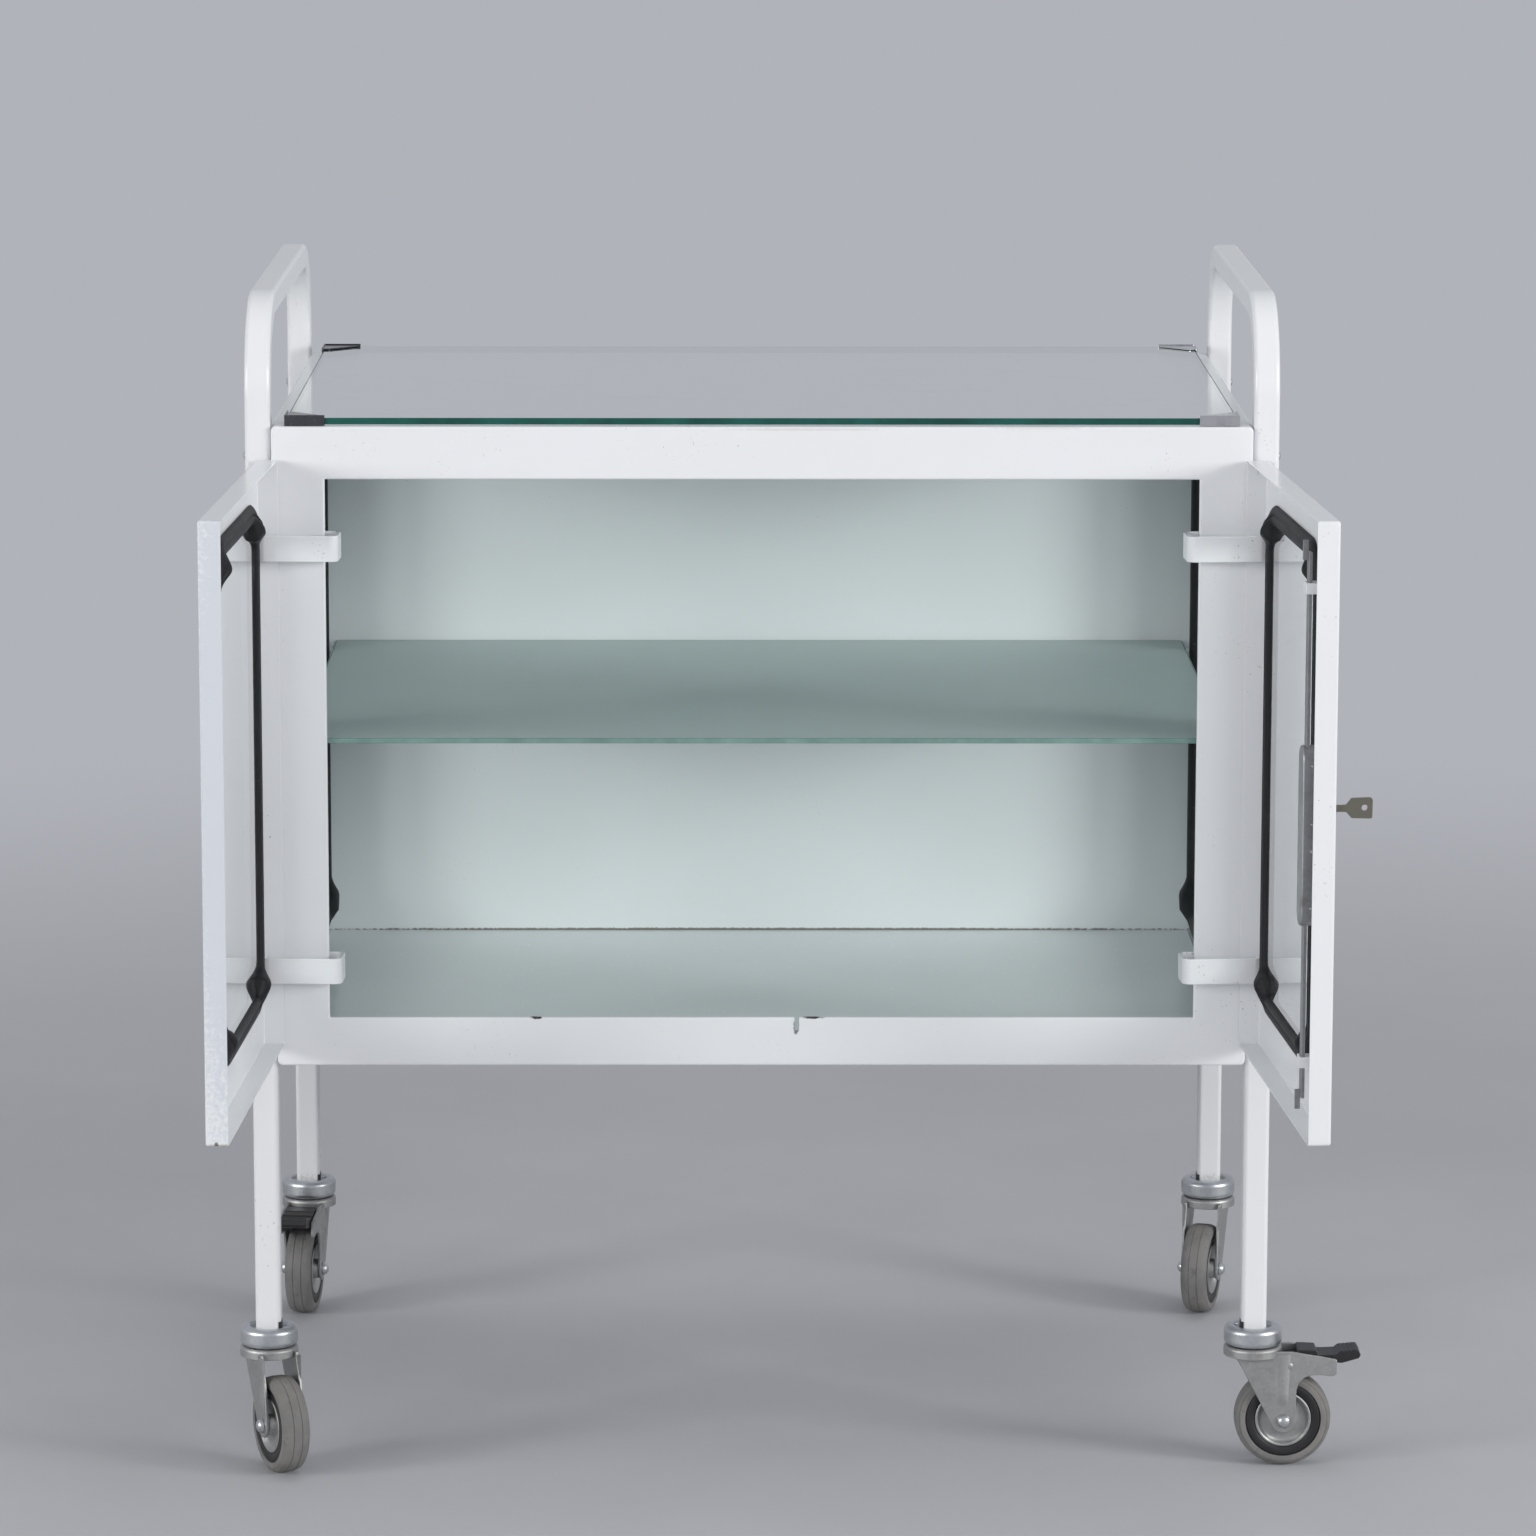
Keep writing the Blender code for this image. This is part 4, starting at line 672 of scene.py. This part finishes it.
for side, word in sides:
    grid = rubber((56, 462, 346, 804, 45), sheet, 369.6, 7.0, side, stout=1.42)
    piece(f"side_rubber_{word}", [skin(laid(grid, "side"))], [black_rubber],
          "root", [f"side_seal_{word}"], sharp=70)
    low, high = sorted((367.6 * side, 371.6 * side))
    glazing = pane(66.3, 451.7, 356.3, 793.7, 34.7, low, high, "side")
    piece(f"side_pane_{word}", [glazing], [clear_glass, glass_edge],
          "root", [f"side_glass_{word}"])


# SHELF
# A loose sheet of 4 mm glass, sandblasted on top, with ground green edges, lying on the four lugs.
def frosted_glass_paint(start):
    place = start.node("TexCoord", out="Object")
    cloud = place.noise(5.0, 4.0, 0.6)
    colour = cloud.fade(0.3, 0.7).between((0.60, 0.70, 0.69), (0.64, 0.73, 0.72))
    rub = place.stretched((3.0, 40.0, 1.0)).noise(4.0, 3.0, 0.6).fade(0.60, 0.80)
    colour = (rub * 0.16).between(colour, (0.60, 0.69, 0.67))
    blast = start.bump(0.18, 0.0002, place.noise(1400.0, 1.0))
    matt = start.solid(colour, 0.46 + cloud * 0.12, blast, {"Coat Weight": 0.7, "Coat Roughness": 0.3})
    glow = start.node("BsdfTranslucent", {}, {"Color": (0.66, 0.80, 0.77, 1.0)})
    return start.node("MixShader", {}, {0: 0.28, 1: matt, 2: glow})


def ground_edge_paint(start):
    place = start.node("TexCoord", out="Object")
    cloud = place.noise(60.0, 3.0)
    colour = cloud.fade(0.3, 0.7).between((0.155, 0.270, 0.240), (0.215, 0.345, 0.310))
    grain = start.bump(0.3, 0.0003, place.noise(900.0, 2.0))
    return start.solid(colour, 0.38 + cloud * 0.15, grain)


frosted_glass = material("frosted_glass", frosted_glass_paint)
ground_edge = material("ground_edge", ground_edge_paint)
shelf = pane(-360, 360, 9, 506, 5, 578.5, 582.5, "top", steps=6, arris=0.6)
piece("shelf_pane", [shelf], [frosted_glass, ground_edge], "root", ["shelf_glass"])


# WORK TOP
# A clear 5 mm pane with a deep green edge, lifted a little off the lacquered top by four pressed
# chrome corners, which grip it from above and below.
top_pane = pane(-366, 366, 3, 502, 3, 828.3, 833.3, "top", steps=5)
piece("work_top_pane", [top_pane], [clear_glass, glass_edge], "root", ["work_top_glass"])


def chrome(name, bright=(0.70, 0.70, 0.71), rough=0.10):
    """Thin chromium on pressed brass or steel: soft stains, pin-point rust and fine scratches."""

    def paint(start):
        place = start.node("TexCoord", out="Object")
        blotch = place.noise(55.0, 4.0, 0.6)
        pins = place.noise(800.0, 1.0).fade(0.70, 0.77)
        colour = (blotch.fade(0.45, 0.75) * 0.5).between(bright, tuple(0.55 * c for c in bright))
        colour = (pins * 0.8).between(colour, (0.16, 0.085, 0.04))
        scratch = place.stretched((500.0, 90.0, 200.0)).noise(1.5, 2.0)
        lines = start.bump(0.10, 0.0003, scratch + blotch)
        shine = rough + blotch * 0.12 + pins * 0.4
        return start.solid(colour, shine, lines, {"Metallic": 1.0 - pins * 0.8})

    return material(name, paint)


corner_chrome = chrome("chrome")
# A copy of the chrome darkened to paint a dark reflection into it. It goes on the left glass corners and on
# the lock rosette; the right corners keep the bright chrome.
chrome_painted_dark = chrome("chrome_painted_dark_reflection", (0.13, 0.13, 0.14), 0.12)
corner_wall = np.array([
    (367.5, 1.5), (367.5, 32.5), (366.3, 32.5), (366.3, 2.7), (336.5, 2.7), (336.5, 1.5)])
corner_cover = np.array([(366.9, 2.1), (366.9, 31.3), (361.5, 31.3), (337.7, 7.5), (337.7, 2.1)])
corner_layers = (
    (corner_wall, 827.3, 835.6), (corner_cover, 833.6, 834.7), (corner_cover, 827.4, 828.0))
top_middle = np.array([0, 252.5])
for side, word in sides:
    # The left corners take the chrome painted dark as a reflection.
    finish = corner_chrome if side > 0 else chrome_painted_dark
    for end, end_word in ((1, "front"), (-1, "rear")):
        skins = []
        for outline, low, high in corner_layers:
            skins.append(prism((outline - top_middle) * (side, end) + top_middle, low, high, "top"))
        piece(f"glass_corner_{end_word}_{word}", skins, [finish],
              "root", [f"glass_clip_{end_word}_{word}"], soften=0.5)


# DOORS
# Two shallow pressed pans of 1 mm, hung on pins behind the stiles and standing open. Each has a
# window with the same rubber and a 4 mm pane. The right one carries two bent guides for the rods.
joint_at = {j["name"]: np.array(j["pos_m"]) for j in frame["joints"] if "pos_m" in j}
pin_x, pin_y = 361.25, 9.75
open_degrees = {1: 94, -1: 92.9}


def rotated(points, angle):
    """The points turned by the angle about the upright axis through the origin."""
    across = points[..., 0] * math.cos(angle) - points[..., 1] * math.sin(angle)
    back = points[..., 0] * math.sin(angle) + points[..., 1] * math.cos(angle)
    return np.stack([across, back, points[..., 2]], -1)


def on_door(side):
    """From millimetres on the shut right door to the row frame, mirrored for the left, standing open."""
    angle = side * math.radians(open_degrees[side])
    pin = joint_at["door_right_hinge" if side > 0 else "door_left_hinge"]

    def place(points):
        near = (points - (pin_x, pin_y, 0)) * (side, 1, 1) / 1000
        return rotated(near, angle) + (pin[0], pin[1], 0)

    return place


door_lacquer = lacquer("white_lacquer_door", (0.795, 0.807, 0.83), 0.9, [
    # The first mark, a blue-grey tint down the whole free edge of the left door, is painted shade. The next
    # is a yellowish stain, and the last is a chip to bare iron.
    ((-393, -350, 610), (24, 10, 300), (0.60, 0.64, 0.70), 0.80),
    ((-393, -350, 342), (14, 6, 2.2), (0.48, 0.47, 0.30), 0.45),
    ((-399, -350, 343), (2.4, 4, 2.4), bare_iron, 0.8),
])
leaf_section = rounded(
    [(0, -1), (0, -17.8), (100, -17.8), (100, -16.8), (1, -16.8), (1, -1)],
    [0.3, 1.6, 0.3, 0.3, 0.6, 0.3])
leaf_grid = rings(
    leaf_section, (1.5, 349.5, 341.5, 801.5, 2.5), (85.2, 322.8, 381.7, 768.3, 32.3), 12)
rod_guide = np.array([
    (20.8, -17.3), (22.1, -17.3), (22.1, 1.9), (32.9, 1.9),
    (32.9, -17.3), (34.2, -17.3), (34.2, 3.1), (20.8, 3.1)])
guides = [prism(rod_guide, z - 4, z + 4, "top") for z in (750, 400)]
for side, word in sides:
    door, place = f"door_{word}", on_door(side)
    fittings = guides if side > 0 else []
    piece(f"door_leaf_{word}", [skin(laid(leaf_grid, "front")), *fittings], [door_lacquer],
          door, [door], place, sharp=30)
    grid = rubber((79.5, 328.5, 376, 774, 38), 1.0, -17.3, 9.0, lowest=-6.6)
    piece(f"door_rubber_{word}", [skin(laid(grid, "front"))], [black_rubber],
          door, [f"door_seal_{word}"], place, sharp=70)
    glazing = pane(89.8, 318.2, 386.3, 763.7, 27.7, -19.3, -15.3, "front")
    piece(f"door_pane_{word}", [glazing], [clear_glass, glass_edge],
          door, [f"door_glass_{word}"], place)


# HINGE ARMS
# Flat 20 by 3 mm strip bent in a hook from the hinge pin round the stile to the inside of the door,
# where it is welded. The pin's bracket stays hidden behind the stile.
arm_path = rounded([(pin_x, 14.55), (pin_x, 45), (332, 45), (332, -15), (345, -15)], 5, 6, closed=False)
arm_strip = rounded([(-1.5, -10), (1.5, -10), (1.5, 10), (-1.5, 10)], 0.5, 3)
arm_grid = swept(arm_path, arm_strip)
knuckle = turned(rounded([(3.3, -10), (5.5, -10), (5.5, 10), (3.3, 10)], 0.4, 2), 32)
for side, word in sides:
    for level, z in (("upper", 735), ("lower", 404)):
        strip = skin(arm_grid + (0, 0, z), along=False, ends=0)
        eye = shifted(knuckle, (pin_x, pin_y, z))
        piece(f"arm_{word}_{level}", [strip, eye], [door_lacquer],
              f"door_{word}", [f"hinge_arm_{word}_{level}"], on_door(side))
        for spot in frame["nodes"][f"hinge_bracket_{word}_{level}"].material_slots:
            spot.material = inner_lacquer


# LOCK
# Zinc plated case with round ends on the inside of the right door, a turned rosette with its plug
# outside, the key standing in it, and two flat rods that lead from the case to the ends of the door.
lock_x, lock_z = 27.5, 587.5


def on_lock(points):
    """From millimetres about the lock's axis, on the shut right door, to the row frame."""
    return on_door(1)(points + (lock_x, 0, lock_z))


case_zinc = zinc("case_zinc", (0.43, 0.43, 0.44), 0.34, 0.9)
case_section = rounded(
    [(6, 3.6), (1, 3.6), (1, -16.5), (0, -16.5), (0, 4.6), (6, 4.6)],
    [0.3, 0.5, 0.2, 0.2, 1.4, 0.3], closed=False)
case_grid = laid(rings(case_section, (-11, 11, -86.5, 47, 11), steps=10), "front")
rivet = np.array([(0, 0.9), (0.8, 0.8), (1.4, 0.45), (1.7, -0.3), (0, -0.3)])
rivet_shape = turned(rivet * (1, -1), 14, along=False)
rivets = [laid_over(rivet_shape, (-10.9, -3, z)) for z in (33, -10, -30, -72)]
piece("lock_cover", [skin(case_grid, along=False, ends=0), *rivets], [case_zinc],
      "door_right", ["lock_case"], on_lock)

# Olive nickel silver. Its own tone is darkened to paint dark reflections into the key, and the plug takes it
# too, which paints out the highlight on its face.
nickel_painted_dark = chrome("nickel_painted_dark", (0.27, 0.26, 0.21), 0.26)
rosette = rounded(
    [(8.5, -20.4), (9.8, -20.4), (12, -19.3), (12, -18.1), (8.5, -18.1)], [0.3, 0.5, 0.4, 0.2, 0.2], 4)
# The rosette takes the chrome painted dark, a painted shade that dulls the highlight on its rim.
piece("lock_rosette", [turned(rosette, 56, "across")], [chrome_painted_dark],
      "door_right", ["lock_collar"], on_lock)
plug = rounded(
    [(0, -20.1), (8.2, -20.1), (8.2, -15), (5.4, -15), (5.4, 3.2), (0, 3.2)],
    [0.1, 0.5, 0.2, 0.2, 0.3, 0.1], 3, closed=False)
piece("lock_plug", [turned(plug, 48, "across", along=False)], [nickel_painted_dark],
      "key", ["lock_cylinder"], on_lock)
bow = rounded(
    [(-26.4, -2.6), (-29, -2.6), (-33, -7.2), (-48.3, -7.7),
     (-48.5, 8), (-33, 7.6), (-29, 2.6), (-26.4, 2.6)], [0.3, 1, 2, 1.5, 2.2, 2, 1, 0.3], 3)
to_next = np.roll(bow, -1, 0) - bow
bow = (bow[:, None] + to_next[:, None] * np.linspace(0, 0.9, 4)[:, None]).reshape(-1, 2)
eye, eye_radius = np.array([-42.6, 0.4]), 2.3
spoke = bow - eye
eye_ring = eye + eye_radius * spoke / np.linalg.norm(spoke, axis=1, keepdims=True)
bow_lines = ((bow, -1), (eye_ring, -1), (eye_ring, 1), (bow, 1))
bow_grid = np.stack([np.column_stack([line, np.full(len(line), depth)]) for line, depth in bow_lines])
stem = rounded([(-27, -2.5), (-19.5, -2.5), (-19.5, 2.5), (-27, 2.5)], 0.3, 2)
piece("lock_key", [skin(laid(bow_grid, "side")), prism(stem, -0.95, 0.95, "side")], [nickel_painted_dark],
      "key", ["key"], on_lock, soften=0.3)

rod_zinc = zinc("rod_zinc", (0.40, 0.40, 0.41), 0.40, 0.8)
for name, sense, doorway in (("upper_rod", 1, doorway_top), ("lower_rod", -1, doorway_bottom)):
    tail, root, stop = lock_z - sense * 12.5, lock_z + sense * 12.4, doorway - sense * 10
    tail_far, tail_near = lock_x - sense * 9.6, lock_x - sense * 5.9
    left, right = lock_x - sense * 5, lock_x + sense * 5
    jog = root + sense * 8
    outline = [(tail_far, tail), (tail_near, tail), (tail_near, root), (right, root),
               (right, stop), (left, stop), (left, jog), (tail_far, jog)]
    hook_root, hook_tip = stop - sense * 6, doorway - sense * 1.2
    hook = [(26.7, hook_root), (28.3, hook_root), (28.3, hook_tip), (26.7, hook_tip)]
    skins = [prism(outline, -1, 1.5, "front"), prism(hook, 1.45, 5.5, "front")]
    piece(f"{name}_flat", skins, [rod_zinc], name, [name], on_door(1), soften=0.3)


# CASTERS
# Four swivel casters with 76 mm wheels: a turned ring that the leg stands in, a pressed fork with two
# tapering plates, a grey tyre on a black rim with a dished zinc disc, and domed axle nuts. Two of them
# have a housing with a black rocking pedal, ribbed at the tip.
def grey_tyre_paint(start):
    place = start.node("TexCoord", out="Object")
    cloud = place.noise(42.0, 4.0, 0.62)
    colour = cloud.fade(0.3, 0.7).between((0.150, 0.147, 0.145), (0.205, 0.200, 0.195))
    scuffs = place.noise(150.0, 3.0, 0.7).fade(0.58, 0.74)
    colour = (scuffs * 0.5).between(colour, (0.085, 0.080, 0.072))
    dust = place.noise(16.0, 2.0).fade(0.42, 0.72)
    colour = (dust * 0.35).between(colour, (0.27, 0.25, 0.22))
    pitted = start.bump(0.4, 0.0006, place.noise(300.0, 3.0) + scuffs)
    return start.solid(colour, 0.62 + cloud * 0.2, pitted)


grey_tyre = material("grey_tyre", grey_tyre_paint)
bright_zinc = zinc("bright_zinc", (0.62, 0.64, 0.66), 0.26, 0.35)
fork_zinc = zinc("fork_zinc", (0.47, 0.475, 0.465), 0.40, 0.55)
wheel_trail, axle_height, lobe_radius = 24, 38, 9.8


def both_sides(half):
    """The half profile, and after it its mirror image on the wheel's other side."""
    return half + [(radius, -out) for radius, out in reversed(half)]


tyre = turned(both_sides([
    (29.9, 10.9), (31.5, 11.15), (33.6, 11.0), (34.4, 10.75), (34.7, 10.2), (35.0, 10.55),
    (36.4, 9.4), (37.4, 7.6), (37.9, 5.0), (38.0, 3.9), (37.45, 3.5), (38.0, 3.1)]), 96, "across")
rim = turned(both_sides([
    (22.2, 7.2), (22.3, 9.6), (22.9, 10.3), (28.4, 10.5), (29.3, 10.1), (29.6, 9.4)]), 80, "across")
disc = turned(both_sides([
    (4.2, 13.2), (7.6, 13.2), (8.2, 12.6), (8.5, 8.2), (9.4, 7.6), (16.6, 7.4), (18.2, 7.9), (19.4, 9.5),
    (20.4, 10.6), (21.3, 10.8), (22.0, 10.3), (22.1, 9.0)]), 72, "across", look=1)
bolt = turned(both_sides([
    (0, 20.8), (2.2, 20.6), (4.0, 19.7), (5.1, 18.2), (5.5, 16.4), (4.0, 16.3)]), 40, "across", along=False)
brake_pivot = turned(both_sides([(0, 16.6), (2.4, 16.4), (3.3, 15.6), (3.5, 14)]), 28, "across", along=False)
brake_pivot = shifted(brake_pivot, (28, 0, 82.7))
ring_section = rounded(
    [(0, 160), (5.5, 160), (5.5, 109.7), (14, 109.7), (15, 113), (23, 113),
     (23, 97.3), (5, 97.3), (5, 92.7), (9, 92.7), (9, 90.2), (0, 90.2)],
    [0.1, 0.8, 0.2, 0.4, 1.8, 4.6, 4.4, 0.3, 0.3, 0.5, 0.5, 0.1], 6, closed=False)
ring = turned(ring_section, 64, along=False)
crown_section = rounded(
    [(5.3, 97), (23, 97), (23, 89), (20.6, 89), (20.6, 93), (5.3, 93)], [0.2, 2.6, 0.4, 0.4, 1.2, 0.2], 4)
crown = turned(crown_section, 64)


def plate_outline(braked):
    """Side plate of the fork: wide under the crown and round at the axle.

    A braked one runs back into the housing of the pedal.
    """
    end = np.linspace(math.radians(-153), math.radians(-6), 14)
    lobe = np.column_stack([
        wheel_trail + lobe_radius * np.cos(end), axle_height + lobe_radius * np.sin(end)])
    front = [(-18.5, 94.2), (-17.2, 91.2), (-13.2, 87.4), (-9.8, 81.6)]
    if not braked:
        return np.vstack([front, lobe, [(29.6, 70), (24.6, 84), (23.4, 88.5), (22.4, 94.2)]])
    housing = [
        (33.6, 54), (33.9, 63), (36.0, 69.2), (40.2, 73.2), (46.0, 75.2), (53.0, 75.3), (60.5, 74.4),
        (64.0, 74.7), (65.6, 77), (65.6, 87.2), (64.4, 88.3), (46, 91.6), (30, 94.2)]
    return np.vstack([front, lobe, housing])


def fork_rib(side):
    """A pressed channel above the axle: its height over the plate falls off as a cosine across and along."""
    down = np.linspace(0, 1, 17)[:, None]
    across = np.linspace(-1, 1, 11)[None, :]
    wide = 6.6 - 1.6 * down
    swell = np.clip(np.sin(np.pi * (0.12 + 0.88 * down)) * 2.4, 0, 1)
    bulge = 1.3 * np.cos(across * np.pi / 2) ** 0.8 * swell
    grid = np.stack([22.6 + wide * across, side * (15.85 + bulge), 92 - 42 * down + 0 * across], -1)
    under = grid.copy()
    under[..., 1] = side * 15.2
    return skin(np.concatenate([grid, under[:, ::-1]], 1), along=False, ends=0)


def on_swivel(corner, heading):
    """From millimetres about the swivel's axis to the row frame.

    The wheel trails along the first direction, which points to the heading.
    """
    post = joint_at[f"swivel_{corner}_turn"]
    angle = math.radians(heading)

    def place(points):
        return rotated(points, angle) / 1000 + (post[0], post[1], 0)

    return place


pedal_line = rounded(
    [(22.6, 78), (34, 77.4), (66.5, 84.6), (70, 84.4), (83, 88.2), (84.5, 91), (82.2, 95),
     (67.6, 93.6), (65, 91.2), (51, 90.6), (49.5, 94.4), (35, 95), (33.5, 89), (24, 88)],
    [2.5, 4, 2, 1, 1.5, 1, 1.5, 1.2, 1.5, 1, 1.6, 1.6, 1, 2.5], 3)
tread_rib = np.array([(68.8, 92), (70.2, 92), (70.2, 94.35), (68.8, 94.25)])
tread = [prism(tread_rib + (3.1 * k, 0.3 * k), -12.2, 12.2, "front") for k in range(4)]
pedal = [prism(pedal_line, -12.8, 12.8, "front"), *tread]
hub = (wheel_trail, 0, axle_height)
for corner, heading, braked in (
        ("front_left", -65, False), ("front_right", 0, True),
        ("rear_left", -97, True), ("rear_right", -106, False)):
    name, swivel, wheel = f"caster_{corner}", f"swivel_{corner}", f"wheel_{corner}"
    place = on_swivel(corner, heading)
    pivot = [brake_pivot] if braked else []
    piece(f"{name}_ring", [ring], [bright_zinc],
          "root", [f"{name}_head"], place, sharp=50)
    piece(f"{name}_crown", [crown, *pivot, fork_rib(1), fork_rib(-1)], [fork_zinc],
          swivel, (), place, sharp=50)
    plates = [prism(plate_outline(braked), low, low + 2.5, "front") for low in (13.5, -16)]
    piece(f"{name}_plates", plates, [fork_zinc],
          swivel, [f"{name}_fork"], place, soften=0.8)
    piece(f"{name}_bolt", [shifted(bolt, hub)], [bright_zinc],
          swivel, [f"{name}_axle"], place)
    piece(f"{name}_rim", [shifted(rim, hub), shifted(disc, hub)], [black_plastic, fork_zinc],
          wheel, [f"{name}_wheel"], place, sharp=50)
    piece(f"{name}_tyre_turned", [shifted(tyre, hub)], [grey_tyre],
          wheel, [f"{name}_tyre"], place, sharp=50)
    if braked:
        piece(f"{name}_lever", pedal, [black_plastic],
              f"pedal_{corner}", [f"{name}_pedal"], place, soften=0.7)
